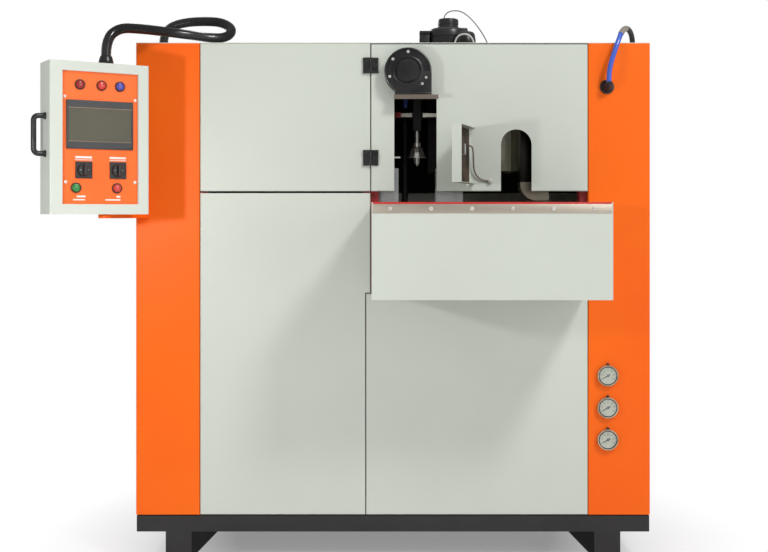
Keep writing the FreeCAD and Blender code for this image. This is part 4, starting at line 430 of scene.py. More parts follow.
def upward_dust():
    """Group: dust on the faces that look up, in patches."""
    group, given = effect_group(
        "upward_dust", ("Colour", "Dust Colour", "Amount", "Patch Scale"), ("Colour",)
    )
    spot = add_node(group, "TexCoord").outputs
    facing = add_node(group, "SeparateXYZ", {0: spot["Normal"]}).outputs["Z"]
    up = remap(group, facing, DUST_RANGE)
    cloud = {"Vector": spot["Object"], "Scale": given["Patch Scale"], "Detail": 6}
    patches = add_node(group, "TexNoise", cloud)
    thick = add_node(group, "Math", {0: up, 1: patches}, operation="MULTIPLY")
    share = add_node(group, "Math", {0: thick, 1: given["Amount"]}, operation="MULTIPLY")
    tones = {"Factor": share, "A": given["Colour"], "B": given["Dust Colour"]}
    feed(group.nodes.new("NodeGroupOutput"), {"Colour": add_node(group, "Mix", tones, data_type="RGBA")})
    return group


DUST = upward_dust()


def dusty(amount, *look, **more):
    """A finish under the dust of the hall."""
    material = finish(*look, **more)
    shader = material.node_tree.nodes["Principled BSDF"]
    clean = shader.inputs["Base Color"].links[0].from_socket
    layer = {"Colour": clean, "Dust Colour": HALL_DUST, "Amount": amount, "Patch Scale": DUST_PATCH}
    feed(shader, {"Base Color": add_node(material.node_tree, "Group", layer, node_tree=DUST)})
    return material


def dress(material, *names):
    """Gives kept CAD nodes their finish."""
    for name in names:
        nodes[name].data.materials.clear()
        nodes[name].data.materials.append(material)


black_paint = dusty(
    0.3, "satin_black_paint", (0.012, 0.0115, 0.012), (0.02, 0.019, 0.02), (0.36, 0.5), 6, 800, 0.00003
)
dress(black_paint, "base_frame")
# Painted shade: the gussets, within GUSSET_WITHIN of the middle, lose their gleam so they look shaded.
leg_paint = black_paint.copy()
leg_paint.name = "leg_paint"
tree = leg_paint.node_tree
spot = add_node(tree, "TexCoord").outputs["Object"]
across = add_node(tree, "SeparateXYZ", {0: spot}).outputs["X"]
away = add_node(tree, "Math", {0: across}, operation="ABSOLUTE")
outside = add_node(tree, "Math", {0: away, 1: GUSSET_WITHIN}, operation="GREATER_THAN")
gloss = remap(tree, outside, end=(GUSSET_SHADE_GLEAM, LEG_GLEAM))
feed(tree.nodes["Principled BSDF"], {"Specular IOR Level": gloss})
dress(leg_paint, "leg_front_left", "leg_rear_left", "leg_front_right", "leg_rear_right")

# ---- Inner frame ----
# Welded square tubes in red primer paint, front and rear half, with the black machine deck on
# them. They show only as thin red lines round the openings.

red_primer = dusty(
    0.3, "red_frame_paint", (0.3, 0.01, 0.012), (0.2, 0.008, 0.01), (0.42, 0.56), 8, 700, 0.00004
)
blackened_steel = dusty(
    0.08, "blackened_steel", (0.006, 0.006, 0.006), (0.014, 0.013, 0.012), (0.42, 0.6), 9, 500, 0.00004, 0.3
)
dress(red_primer, "front_frame", "rear_frame")
dress(blackened_steel, "machine_deck")

# ---- Orange columns and swivel arm ----
# Folded sheet with an orange powder coat, which has a slight orange-peel relief. The arm under
# the pendant has the same coat.

ORANGE, AGED_ORANGE = (0.98, 0.152, 0.003), (0.95, 0.128, 0.002)
orange_coat = dusty(
    0.2, "orange_powder_coat", ORANGE, AGED_ORANGE, (0.34, 0.46), 2.2, 420, 0.00005, gleam=0.25
)
dress(orange_coat, "column_left", "column_right", "pendant_arm")

# ---- Grey panels and doors ----
# Folded sheet with a light grey-green powder coat: sides, rear, roof, doors, apron, flap and
# the pendant's case. The coat has a fine peel and is a little darker in slow patches.

grey_coat = dusty(
    0.22, "grey_powder_coat", (0.62, 0.655, 0.585), (0.59, 0.62, 0.555), (0.36, 0.48), 1.8, 480, 0.00004
)
dress(grey_coat, "side_panel_left", "side_panel_right", "rear_panel", "roof_panel", "upper_left_panel")
dress(grey_coat, "lower_left_door", "lower_right_door", "guard_door", "apron", "outlet_flap")
dress(grey_coat, "pendant_case")

# ---- Panel screws ----
# Zinc-plated button-head screws with a hexagon socket hold the rear panel, the two side panels
# and the roof to the frame. One head is built up from its rim, and copied.

SCREW_WIDE, SCREW_TALL = 0.0055, 0.0032
REAR_FACE, SIDE_FACE, ROOF_TOP = 0.375, 0.825, 1.67
HOSE_CORNER = (0.79, -0.34, ROOF_TOP)
QUARTER = math.radians(90)
FACE_TURNS = {
    "up": (0, 0, 0),
    "front": (QUARTER, 0, 0),
    "rear": (-QUARTER, 0, 0),
    "left": (0, -QUARTER, 0),
    "right": (0, QUARTER, 0),
}
bright_zinc = finish(
    "bright_zinc", (0.62, 0.62, 0.6), (0.46, 0.45, 0.43), (0.2, 0.34), 60, 900, 0.00003, 1.0
)


def build_up(profile, sides):
    """A round form: its base disc is extruded and scaled to each (radius, height) in turn."""
    radius, height = profile[0]
    choose()
    bpy.ops.mesh.primitive_circle_add(
        vertices=sides, radius=radius, fill_type="NGON", location=(0, 0, height)
    )
    form = bake(bpy.context.object)
    edit(form)
    for next_radius, next_height in profile[1:]:
        pull(0, 0, next_height - height)
        growth = next_radius / radius
        bpy.ops.transform.resize(value=(growth, growth, 1), center_override=(0, 0, next_height))
        radius, height = next_radius, next_height
    close()
    return form


def stand(form, spot, turn=FACE_TURNS["front"]):
    """Turns a form to where it faces and puts it in its place."""
    form.location = spot
    form.rotation_euler = turn
    return bake(form)


def turned(profile, sides, spot, facing="front"):
    """A round form that is built up, turned to where it faces and put in its place."""
    return stand(build_up(profile, sides), spot, FACE_TURNS[facing])


def screw_head(radius, tall, facing="up"):
    """A domed head with a hexagon socket, at the origin."""
    dome = [(radius, 0), (radius, tall * 0.25), (radius * 0.86, tall * 0.7), (radius * 0.6, tall)]
    head = build_up(dome, 24)
    choose()
    bpy.ops.mesh.primitive_cylinder_add(
        vertices=6, radius=radius * 0.36, depth=tall, location=(0, 0, tall * 0.95)
    )
    socket = bpy.context.object
    shape_by(head, "BOOLEAN", operation="DIFFERENCE", object=socket)
    bpy.data.objects.remove(socket)
    return stand(head, (0, 0, 0), FACE_TURNS[facing])


def weld(name, *pieces, angle=35):
    """Joins the forms of one piece and settles it."""
    choose(*pieces)
    if len(pieces) > 1:
        bpy.ops.object.join()
    return settle(bpy.context.object, name, angle)


def set_out(first, name, spots):
    """Copies one form to each spot, each with its own mesh, and joins the copies to one piece."""
    copies = []
    for spot in spots:
        copy = bpy.data.objects.new(name, first.data.copy())
        copy.location = spot
        bpy.context.collection.objects.link(copy)
        copies.append(copy)
    bpy.data.objects.remove(first)
    bake(*copies)
    return weld(name, *copies)


side_spots = [(y, z) for y in (-0.095, 0.345) for z in (0.19, 0.66, 1.14, 1.63)]
rear_spots = [(x, REAR_FACE, z) for x in (-0.79, -0.26, 0.26, 0.79) for z in (0.19, 0.91, 1.63)]
roof_spots = [(x, y, ROOF_TOP) for x in (-0.79, 0.0, 0.79) for y in (-0.34, 0.34)]
roof_spots.remove(HOSE_CORNER)
for name, facing, spots in (
    ("rear_panel_screws", "rear", rear_spots),
    ("left_panel_screws", "left", [(-SIDE_FACE, y, z) for y, z in side_spots]),
    ("right_panel_screws", "right", [(SIDE_FACE, y, z) for y, z in side_spots]),
    ("roof_screws", "up", roof_spots),
):
    screws = set_out(screw_head(SCREW_WIDE, SCREW_TALL, facing), name, spots)
    belongs(screws, bright_zinc, "chrome")

# ---- Guard hinges ----
# Two black die-cast hinges between the upper panel and the guard door, with small black screws
# in each leaf. The CAD leaves are kept and the screws are added.

LEAF_SCREW_WIDE, LEAF_SCREW_TALL, LEAF_SCREW_OFF = 0.0038, 0.0016, 0.014
die_cast = finish(
    "black_die_cast", (0.007, 0.0065, 0.007), (0.018, 0.017, 0.017), (0.34, 0.5), 30, 900, 0.00006
)
dress(die_cast, "guard_hinge_fixed_leaves", "guard_hinge_moving_leaves")
hinge_low, hinge_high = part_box("guard_hinge_fixed_leaves")
leaf_face = hinge_low[1] + 0.0055
hinge_levels = (hinge_low[2] + 0.025, hinge_high[2] - 0.025)
for name, across, body in (
    ("fixed_leaf_screws", -0.0865, "frame"),
    ("moving_leaf_screws", -0.0565, "guard_door"),
):
    offsets = (-LEAF_SCREW_OFF, LEAF_SCREW_OFF)
    spots = [(across, leaf_face, level + up) for level in hinge_levels for up in offsets]
    screws = set_out(screw_head(LEAF_SCREW_WIDE, LEAF_SCREW_TALL, "front"), name, spots)
    belongs(screws, blackened_steel, "black_steel", body)

# ---- Blower ----
# Moulded black snail on the guard door over the slot. Its flange has five screws, a raised ring
# and a round motor cap, and its mouth goes straight down on a stainless shelf.

BLOWER_X, BLOWER_Z = 0.0478, 1.574
FRONT_FACE, COVER_FACE = -0.375, -0.423
MOUTH_LEFT, MOUTH_FLANGE = 0.006, 0.007
COVER_SCREWS, SCREW_RING, RING_PROUD = (90, 142, 197, 318, 340), 0.061, 0.0425
blower_low, blower_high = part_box("blower_housing")
snail_radius = 0.5 * (blower_high[0] - blower_low[0])
mouth_right, mouth_low = blower_high[0], blower_low[2]


def soften(piece, wide, rows=2, angle=40):
    """Rounds all sharp edges of a piece."""
    limits = {"limit_method": "ANGLE", "angle_limit": math.radians(angle)}
    return shape_by(piece, "BEVEL", width=wide, segments=rows, **limits)


def block(low, high, rounding=0.0, rows=2):
    """A box between two corners, with its edges rounded where a rounding is given."""
    choose()
    bpy.ops.mesh.primitive_cube_add(size=1, location=[(a + b) / 2 for a, b in zip(low, high)])
    item = bpy.context.object
    item.scale = [b - a for a, b in zip(low, high)]
    bake(item)
    if rounding:
        soften(item, rounding, rows)
    return item


SNAIL_PROFILE = [
    (snail_radius, 0.0), (snail_radius, 0.04), (snail_radius - 0.0015, 0.0435),
    (snail_radius - 0.005, 0.045), (snail_radius - 0.0075, 0.045), (snail_radius - 0.009, 0.0425),
    (0.05, 0.0425), (0.048, 0.046), (0.044, 0.0475), (0.0415, 0.0475),
    (0.04, 0.0445), (0.037, 0.044), (0.0355, 0.05), (0.0325, 0.0525),
]
snail = turned(SNAIL_PROFILE, 72, (BLOWER_X, FRONT_FACE, BLOWER_Z))
mouth = block(
    (MOUTH_LEFT, COVER_FACE + 0.003, mouth_low), (mouth_right, FRONT_FACE, BLOWER_Z), 0.004, 3
)
mouth_flange = block(
    (MOUTH_LEFT + 0.001, COVER_FACE, mouth_low),
    (mouth_right - 0.001, FRONT_FACE, mouth_low + MOUTH_FLANGE),
    0.0015,
)
snail = weld("blower_snail", snail, mouth, mouth_flange, angle=24)
blower_black = dusty(
    0.2, "blower_black", (0.007, 0.0065, 0.007), (0.016, 0.015, 0.015), (0.24, 0.4), 16, 700, 0.00005
)
belongs(snail, blower_black, "black_plastic", "guard_door", "blower_housing")
dress(blower_black, "blower_impeller")

bright_steel = finish(
    "bright_screw_steel", (0.88, 0.86, 0.81), (0.7, 0.67, 0.61), (0.26, 0.4), 60, 900, 0.00003, 0.45
)
spots = [
    (
        BLOWER_X + SCREW_RING * math.cos(math.radians(angle)),
        FRONT_FACE - RING_PROUD,
        BLOWER_Z + SCREW_RING * math.sin(math.radians(angle)),
    )
    for angle in COVER_SCREWS
]
cover_screws = set_out(screw_head(0.005, 0.0034, "front"), "blower_cover_screws", spots)
belongs(cover_screws, bright_steel, "chrome", "guard_door")

# ---- Blower shelf and apron strip ----
# Brushed stainless steel: a small dull folded shelf under the blower, and a brighter flat strip
# along the apron's rim with six domed screws. The brush lines run along the strip.

LINE_STRETCH, LINE_RANGE = (0.02, 1, 1), (0.3, 0.7)
STRIP_SCREWS, STRIP_MARGIN, STRIP_THICK = 6, 0.05, 0.0015


def brush_lines():
    """Group: long fine lines along X as roughness and height, and slow stains as a tone."""
    group, given = effect_group(
        "brush_lines", ("Line Scale", "Smoothest", "Roughest"), ("Roughness", "Height", "Tone")
    )
    spot = add_node(group, "TexCoord").outputs["Object"]
    stretched = add_node(group, "Mapping", {"Vector": spot, "Scale": LINE_STRETCH})
    lines = add_node(group, "TexNoise", {"Vector": stretched, "Scale": given["Line Scale"], "Detail": 3})
    stains = add_node(group, "TexNoise", {"Vector": spot, "Scale": 9, "Detail": 4})
    rough = remap(group, lines, LINE_RANGE, (given["Smoothest"], given["Roughest"]))
    feed(group.nodes.new("NodeGroupOutput"), {"Roughness": rough, "Height": lines, "Tone": stains})
    return group


BRUSHING = brush_lines()


def brushed(name, colour, stained, rough, line_scale=900.0):
    """Brushed bare metal with a faint unevenness of tone."""
    material, tree = new_surface(name)
    lines = {"Line Scale": line_scale, "Smoothest": rough[0], "Roughest": rough[1]}
    look = add_node(tree, "Group", lines, node_tree=BRUSHING).outputs
    tones = {"Factor": look["Tone"], "A": (*colour, 1), "B": (*stained, 1)}
    colours = add_node(tree, "Mix", tones, data_type="RGBA")
    bump = add_node(tree, "Bump", {"Strength": 0.4, "Distance": 0.00003, "Height": look["Height"]})
    shader = tree.nodes["Principled BSDF"]
    feed(shader, {"Metallic": 1.0, "Base Color": colours, "Roughness": look["Roughness"], "Normal": bump})
    return material


stainless = brushed("brushed_stainless", (0.62, 0.555, 0.465), (0.52, 0.46, 0.38), (0.34, 0.48))
shelf_steel = brushed("dull_stainless", (0.36, 0.3, 0.25), (0.26, 0.21, 0.17), (0.3, 0.44))
dress(shelf_steel, "blower_shelf")
strip_low, strip_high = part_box("apron_strip")
strip_face = strip_high[1] - STRIP_THICK
strip = block((strip_low[0], strip_face, strip_low[2]), strip_high, 0.0004)
settle(strip, "apron_rim_strip")
belongs(strip, stainless, "stainless", "frame", "apron_strip")
strip_run = strip_high[0] - strip_low[0] - 2 * STRIP_MARGIN
strip_middle = (strip_low[2] + strip_high[2]) / 2
spots = [
    (strip_low[0] + STRIP_MARGIN + strip_run * index / (STRIP_SCREWS - 1), strip_face, strip_middle)
    for index in range(STRIP_SCREWS)
]
strip_screws = set_out(screw_head(0.0063, 0.0046, "front"), "apron_strip_screws", spots)
belongs(strip_screws, bright_steel, "chrome")

# ---- Outlet flap inner shade and latch ----
# Inside its folded edges the open flap has a brown sheet that paints the shade and warm reflection
# of its inner face. A bright quarter-turn latch goes through it, and a stud on the door holds the
# cable's ring.

FLAP_TURN, FLAP_PIVOT = math.radians(-107), (0.251, -0.3935, 0.0)
STUD_SPOT = (0.312, -0.381, 1.226)
STUD_PARTS = (
    (28, [(0.0077, 0), (0.008, 0.0006), (0.0077, 0.0016), (0.006, 0.0018)]),
    (6, [(0.0066, 0.0016), (0.007, 0.0022), (0.007, 0.0056), (0.0058, 0.0066)]),
    (20, [(0.0028, 0.005), (0.0028, 0.0085), (0.0022, 0.0092)]),
)
# Painted shade and reflection: this brown sheet stands for the flap's shaded inner face and the warm light
# it picks up.
flap_shade_tint = finish(
    "flap_inner_shade", (0.105, 0.07, 0.05), (0.03, 0.023, 0.018), (0.6, 0.75), 14, 800, 0.00008, gleam=0.12
)
inner_shade_sheet = block((-0.002, -0.0087, 1.2195), (0.2065, -0.0077, 1.3905), 0.0003)
stand(inner_shade_sheet, FLAP_PIVOT, (0, 0, FLAP_TURN))
belongs(settle(inner_shade_sheet, "flap_inner_shade_sheet"), flap_shade_tint, "black_plastic", "outlet_flap")
polished_chrome = finish(
    "polished_chrome", (0.62, 0.62, 0.63), (0.5, 0.5, 0.51), (0.06, 0.16), 30, 700, 0.0, 1.0
)
dress(polished_chrome, "flap_latch")
stud_parts = [turned(profile, sides, STUD_SPOT) for sides, profile in STUD_PARTS]
cable_stud = weld("cable_ring_terminal", *stud_parts, angle=30)
belongs(cable_stud, bright_steel, "chrome", "guard_door")

# ---- Pendant shell ----
# The case is folded sheet in the grey coat. Behind its frame lies an orange fascia film with
# bare label bars and four screws. Everything here is drawn square and then turned by 32 degrees.

PENDANT_PIN, PENDANT_TURN = (-0.87, -0.58, 1.119), math.radians(32)
PIN_ACROSS, PIN_BACK = 0.187, 0.062
FASCIA_BACK, LABEL_THICK = 0.01, 0.0002
LABEL_BARS = (
    (0.078, 0.127, 0.1655, 0.1715), (0.076, 0.129, 0.16, 0.162), (0.181, 0.231, 0.1655, 0.1715),
    (0.181, 0.231, 0.16, 0.162), (0.082, 0.108, 0.05, 0.0555), (0.071, 0.106, 0.041, 0.045),
    (0.202, 0.214, 0.05, 0.0555), (0.168, 0.214, 0.041, 0.045),
)
FASCIA_SCREWS = ((0.046, 0.346), (0.26, 0.344), (0.049, 0.095), (0.259, 0.096))


def on_pendant(across, back, up):
    """A place on the pendant before it is turned, from its left front lower corner."""
    return (across - PIN_ACROSS, back - PIN_BACK, up)


def pendant_block(left, right, front, back, low, high, rounding=0.0, rows=2):
    """A box that is drawn on the pendant before it is turned."""
    return block(on_pendant(left, front, low), on_pendant(right, back, high), rounding, rows)


def hang(name, *pieces, angle=35):
    """Joins the forms of one piece that was drawn square, and turns it with the pendant."""
    piece = weld(name, *pieces, angle=angle)
    return settle(stand(piece, PENDANT_PIN, (0, 0, PENDANT_TURN)), name, angle)


fascia_orange = finish(
    "orange_fascia_film", (0.96, 0.15, 0.005), (0.93, 0.13, 0.003), (0.3, 0.4), 5, 900, 0.00002
)
dress(fascia_orange, "pendant_fascia")
label_white = finish("label_white", (0.8, 0.79, 0.76), (0.72, 0.71, 0.68), (0.35, 0.45), 30, 900)
bars = [
    pendant_block(left, right, FASCIA_BACK - LABEL_THICK, FASCIA_BACK, low, high)
    for left, right, low, high in LABEL_BARS
]
belongs(hang("fascia_label_bars", *bars), label_white, "orange_fascia", "pendant")
spots = [on_pendant(across, FASCIA_BACK, up) for across, up in FASCIA_SCREWS]
fascia_screws = set_out(screw_head(0.005, 0.003, "front"), "fascia_screws", spots)
belongs(hang("fascia_screws", fascia_screws), bright_steel, "chrome", "pendant")

# ---- Touch panel ----
# Dark grey moulded bezel with rounded corners on the fascia, its body through the fascia's cut,
# and a thin gold line over and under a sunk matt screen.

SCREEN_LEFT, SCREEN_LOW, SCREEN_WIDE, SCREEN_TALL = 0.05, 0.193, 0.202, 0.144
SCREEN_PROUD, SCREEN_HEAD, BODY_IN = 0.006, 0.024, 0.0065
BEZEL_EDGE, BEZEL_SUNK, LEAST_FRONT = 0.0035, 0.0005, 0.01
SCREEN_EDGE, SCREEN_SUNK = 0.0025, 0.0003
LINE_OFF, LINE_HALF, LINE_IN = 0.0016, 0.0006, 0.005


def looks_front(face):
    """Whether a face looks straight to the front."""
    return face.normal.y < -0.9


def sink_front(piece, border, depth, least_area=0.0):
    """Insets the front face of a piece and sinks it by a small step."""
    edit(piece, lambda face: looks_front(face) and face.calc_area() > least_area)
    bpy.ops.mesh.inset(thickness=border)
    pull(0, depth, 0)
    close()
    return piece


bezel_grey = finish(
    "bezel_grey", (0.036, 0.037, 0.04), (0.05, 0.051, 0.054), (0.34, 0.46), 12, 1200, 0.00003
)
gold_line = finish("gold_line", (0.42, 0.27, 0.15), (0.36, 0.23, 0.13), (0.3, 0.4), 40, 900)
screen_face = finish(
    "screen_face", (0.1, 0.096, 0.07), (0.114, 0.11, 0.082), (0.3, 0.4), 3, 200, gleam=0.15
)
near, far = SCREEN_LEFT, SCREEN_LEFT + SCREEN_WIDE
low, high = SCREEN_LOW, SCREEN_LOW + SCREEN_TALL
bezel = pendant_block(near, far, FASCIA_BACK - SCREEN_PROUD, FASCIA_BACK, low, high, 0.0022, 3)
sink_front(bezel, BEZEL_EDGE, BEZEL_SUNK, LEAST_FRONT)
body_sides = (near + BODY_IN, far - BODY_IN, FASCIA_BACK - 0.001, FASCIA_BACK + 0.035)
body = pendant_block(*body_sides, low + BODY_IN, high - BODY_IN, 0.001)
bezel = hang("touch_panel_bezel", bezel, body, angle=30)
belongs(bezel, bezel_grey, "screen", "pendant", "touch_panel")

face_back = FASCIA_BACK - SCREEN_PROUD + BEZEL_SUNK
screen_sides = (near + 0.006, far - 0.007, face_back - 0.0008, face_back + 0.0005)
screen = pendant_block(*screen_sides, low + SCREEN_HEAD, high - SCREEN_HEAD)
sink_front(screen, SCREEN_EDGE, SCREEN_SUNK)
belongs(hang("touch_screen", screen, angle=30), screen_face, "screen", "pendant")
line_sides = (near + LINE_IN, far - LINE_IN, face_back - 0.0003, face_back + 0.0002)
lines = [
    pendant_block(*line_sides, level - LINE_HALF, level + LINE_HALF)
    for level in (low + SCREEN_HEAD - LINE_OFF, high - SCREEN_HEAD + LINE_OFF)
]
belongs(hang("bezel_gold_lines", *lines), gold_line, "screen", "pendant")

# ---- Push-buttons ----
# Five domed plastic caps on the fascia: dark red, red and blue above, green and red below. Each
# is built up from its stem, slides on its own joint and sits in a black ring on the fascia; the
# ring's black round the cap is partly painted shade.

CAP_RADIUS, CAP_PROUD, STEM_RADIUS, STEM_LONG = 0.012, 0.01, 0.007, 0.017
BUTTONS = (
    ("button_left", 0.091, 0.383, "dark_red_button", (0.33, 0.012, 0.012), (0.25, 0.01, 0.01)),
    ("button_middle", 0.156, 0.383, "red_button", (0.6, 0.035, 0.02), (0.5, 0.03, 0.02)),
    ("button_right", 0.212, 0.383, "blue_button", (0.08, 0.065, 0.4), (0.06, 0.05, 0.3)),
    ("button_start", 0.079, 0.078, "green_button", (0.02, 0.26, 0.05), (0.018, 0.2, 0.04)),
    ("button_stop", 0.203, 0.078, "red_button", (0.62, 0.045, 0.035), (0.52, 0.04, 0.03)),
)
CAP_PROFILE = [
    (STEM_RADIUS, -STEM_LONG), (STEM_RADIUS, -0.003), (CAP_RADIUS, -0.003), (CAP_RADIUS, CAP_PROUD * 0.55),
    (CAP_RADIUS * 0.95, CAP_PROUD * 0.76), (CAP_RADIUS * 0.8, CAP_PROUD * 0.9),
    (CAP_RADIUS * 0.52, CAP_PROUD * 0.98), (CAP_RADIUS * 0.2, CAP_PROUD),
]
BUTTON_RING = [
    (0.0124, 0.0004), (0.0124, -0.0002), (0.0153, -0.0002), (0.0155, 0.003), (0.015, 0.0042),
    (0.0142, 0.0047), (0.0132, 0.0047), (0.0125, 0.004), (0.0124, 0.0004),
]


def hollow_ring(profile, sides):
    """A ring whose profile comes back to its start: the two end discs go and the seam is closed."""
    ring = build_up(profile, sides)
    edit(ring, lambda face: len(face.verts) > 4)
    bpy.ops.mesh.delete(type="FACE")
    bpy.ops.mesh.select_all(action="SELECT")
    bpy.ops.mesh.remove_doubles(threshold=1e-5)
    close()
    return ring


knob_black = finish(
    "knob_black", (0.014, 0.013, 0.013), (0.026, 0.024, 0.023), (0.3, 0.44), 30, 800, 0.00003
)
rings = []
for name, across, up, slot_name, colour, aged in BUTTONS:
    seat = on_pendant(across, FASCIA_BACK, up)
    cap = hang(name + "_cap", turned(CAP_PROFILE, 40, seat), angle=40)
    plastic = finish(name + "_plastic", colour, aged, (0.14, 0.24), 30, 500, coat=0.5)
    belongs(cap, plastic, slot_name, name, name)
    # Painted shade in part: the black ring round each cap also stands for the cap's dark shadow outline.
    rings.append(stand(hollow_ring(BUTTON_RING, 44), seat))
belongs(hang("button_bezels", *rings), knob_black, "black_plastic", "pendant")

# ---- Rotary switches ----
# Two black knobs on black square plates, each with a bar grip and two small pale dots beside
# it. The knobs turn on their own joints.

SWITCH_ROW, DISC_RADIUS, DISC_THICK = 0.131, 0.019, 0.008
GRIP_HALF, GRIP_HIGH, GRIP_TAPER, GRIP_REACH = 0.005, 0.012, (0.72, 1, 0.8), 0.018
PLATE_PROUD, PLATE_HALF, PLATE_GAP, DOT_OFF = 0.003, 0.025, 0.0003, 0.0115
DISC_PROFILE = [
    (0.005, -0.0065), (0.005, 0.0), (DISC_RADIUS, 0.0), (DISC_RADIUS, DISC_THICK * 0.7),
    (DISC_RADIUS - 0.0016, DISC_THICK), (DISC_RADIUS - 0.004, DISC_THICK),
]
DOT_PROFILE = [(0.0014, 0), (0.0014, 0.0003), (0.0009, 0.0006)]
mark_pale = finish("mark_pale", (0.62, 0.58, 0.52), (0.5, 0.46, 0.42), (0.35, 0.45), 60, 900)
PLATE_FACE = FASCIA_BACK - PLATE_PROUD - 0.0006
disc_back = FASCIA_BACK - PLATE_PROUD - PLATE_GAP
disc_face = disc_back - DISC_THICK
for name, across in (("rotary_switch_left", 0.1025), ("rotary_switch_right", 0.206)):
    disc = turned(DISC_PROFILE, 48, on_pendant(across, disc_back, SWITCH_ROW))
    grip_sides = (across - GRIP_HALF, across + GRIP_HALF, disc_face - GRIP_HIGH, disc_face + 0.001)
    grip = pendant_block(*grip_sides, SWITCH_ROW - GRIP_REACH, SWITCH_ROW + GRIP_REACH)
    edit(grip, looks_front)
    bpy.ops.transform.resize(
        value=GRIP_TAPER, center_override=on_pendant(across, disc_back - 0.02, SWITCH_ROW)
    )
    close()
    soften(grip, 0.0014, 3, 25)
    knob = hang(name + "_knob", disc, grip, angle=30)
    belongs(knob, knob_black, "black_plastic", name, name)
    plate_sides = (across - PLATE_HALF, across + PLATE_HALF, PLATE_FACE, FASCIA_BACK - 0.0001)
    plate = pendant_block(*plate_sides, SWITCH_ROW - PLATE_HALF, SWITCH_ROW + PLATE_HALF, 0.0005)
    sink_front(plate, 0.0022, 0.0004, 0.001)
    belongs(hang(name + "_plate", plate), knob_black, "black_plastic", "pendant")
    dots = [
        turned(DOT_PROFILE, 12, on_pendant(across + side, disc_face, SWITCH_ROW))
        for side in (-DOT_OFF, DOT_OFF)
    ]
    belongs(hang(name + "_dots", *dots), mark_pale, "black_plastic", name)

# ---- Handle and gland ----
# The handle is a moulded black bar bent round two corners with a foot at each end. The gland
# is a black nut with a domed cap that holds the conduit.

HANDLE_LOW, HANDLE_TALL, HANDLE_OUT, HANDLE_THICK, HANDLE_BACK = 0.17, 0.127, 0.042, 0.016, 0.045
BEND_RADIUS, HANDLE_GAP, BEND_STEPS = 0.014, 0.0005, 8
FOOT_PROFILE = [(0.0108, 0), (0.0108, 0.0028), (0.0098, 0.004), (0.008, 0.004)]
GLAND_SEAT = (PENDANT_PIN[0], PENDANT_PIN[1], 1.5692)
NUT_PROFILE = [(0.025, 0), (0.0256, 0.001), (0.0256, 0.007), (0.024, 0.0085)]
DOME_PROFILE = [
    (0.0215, 0.0075), (0.0222, 0.009), (0.0216, 0.014), (0.0202, 0.0195),
    (0.0188, 0.0245), (0.0176, 0.028), (0.0164, 0.0296), (0.012, 0.0298),
]


def sweep(turn, steps, axis, centre, extrude=bpy.ops.mesh.extrude_region_move):
    """Extrudes what is selected round a centre, in equal steps."""
    for step in range(steps):
        extrude()
        bpy.ops.transform.rotate(
            value=math.radians(turn / steps), orient_axis=axis, center_override=centre
        )


black_plastic = finish(
    "moulded_black_plastic", (0.008, 0.008, 0.009), (0.018, 0.018, 0.019), (0.24, 0.4), 9, 900, 0.00004
)
low_foot, high_foot = HANDLE_LOW + HANDLE_THICK / 2, HANDLE_LOW + HANDLE_TALL - HANDLE_THICK / 2
straight_out = HANDLE_OUT - HANDLE_THICK / 2 - BEND_RADIUS
straight_up = HANDLE_TALL - HANDLE_THICK - 2 * BEND_RADIUS
bend_at = -straight_out - HANDLE_GAP
choose()
bpy.ops.mesh.primitive_circle_add(
    vertices=20,
    radius=HANDLE_THICK / 2,
    fill_type="NGON",
    rotation=FACE_TURNS["left"],
    location=on_pendant(-HANDLE_GAP, HANDLE_BACK, low_foot),
)
handle = bake(bpy.context.object)
edit(handle)
pull(-straight_out, 0, 0)
sweep(-90, BEND_STEPS, "Y", on_pendant(bend_at, HANDLE_BACK, low_foot + BEND_RADIUS))
pull(0, 0, straight_up)
sweep(-90, BEND_STEPS, "Y", on_pendant(bend_at, HANDLE_BACK, low_foot + BEND_RADIUS + straight_up))
pull(straight_out, 0, 0)
close()
feet = [
    turned(FOOT_PROFILE, 32, on_pendant(-0.0002, HANDLE_BACK, level), "left")
    for level in (low_foot, high_foot)
]
handle = hang("pendant_bridge_handle", handle, *feet, angle=40)
belongs(handle, black_plastic, "black_plastic", "pendant", "pendant_handle")
gland_nut = turned(NUT_PROFILE, 6, GLAND_SEAT, "up")
gland = weld("conduit_gland_nut", gland_nut, turned(DOME_PROFILE, 48, GLAND_SEAT, "up"))
belongs(gland, black_plastic, "black_plastic", "pendant", "conduit_gland")

# ---- Pressure gauges ----
# Three gauges in bright cases through the right column. Each has a rolled rim with a black ring
# inside it that paints the shade between rim and dial, a lug on its top, a pale dial with 25 scale
# lines and seven plain numbers, a black hand and a flat glass.

GAUGE_RADIUS, DIAL_RADIUS, GAUGE_PROUD, DIAL_SUNK, GAUGE_STEP = 0.034, 0.029, 0.016, 0.006, 0.1025
FIRST_MARK, MARKS, MARK_TURN, NUMBERS, NUMBER_TURN = -120, 25, 10, 7, 40
MARK_HALF, MARK_IN, LONG_MARK, SHORT_MARK = 0.00035, 0.0022, 0.0052, 0.003
NUMBER_IN, NUMBER_SIZE, INK_THICK = 0.0115, 0.0066, 0.00005
CASE_PROFILE = [
    (0.008, -0.05), (0.008, -0.034), (0.03, -0.034), (0.03, -0.016), (GAUGE_RADIUS, -0.016),
    (GAUGE_RADIUS, -0.003), (GAUGE_RADIUS - 0.0006, -0.0012), (GAUGE_RADIUS - 0.0016, -0.0002),
    (DIAL_RADIUS + 0.0018, -0.0002), (DIAL_RADIUS + 0.0006, -0.0012), (DIAL_RADIUS, -0.0026),
    (DIAL_RADIUS, -0.0062), (DIAL_RADIUS * 0.5, -0.0062),
]
DIAL_PROFILE = [(DIAL_RADIUS - 0.0003, 0), (DIAL_RADIUS - 0.0003, 0.0002), (DIAL_RADIUS - 0.001, 0.0003)]
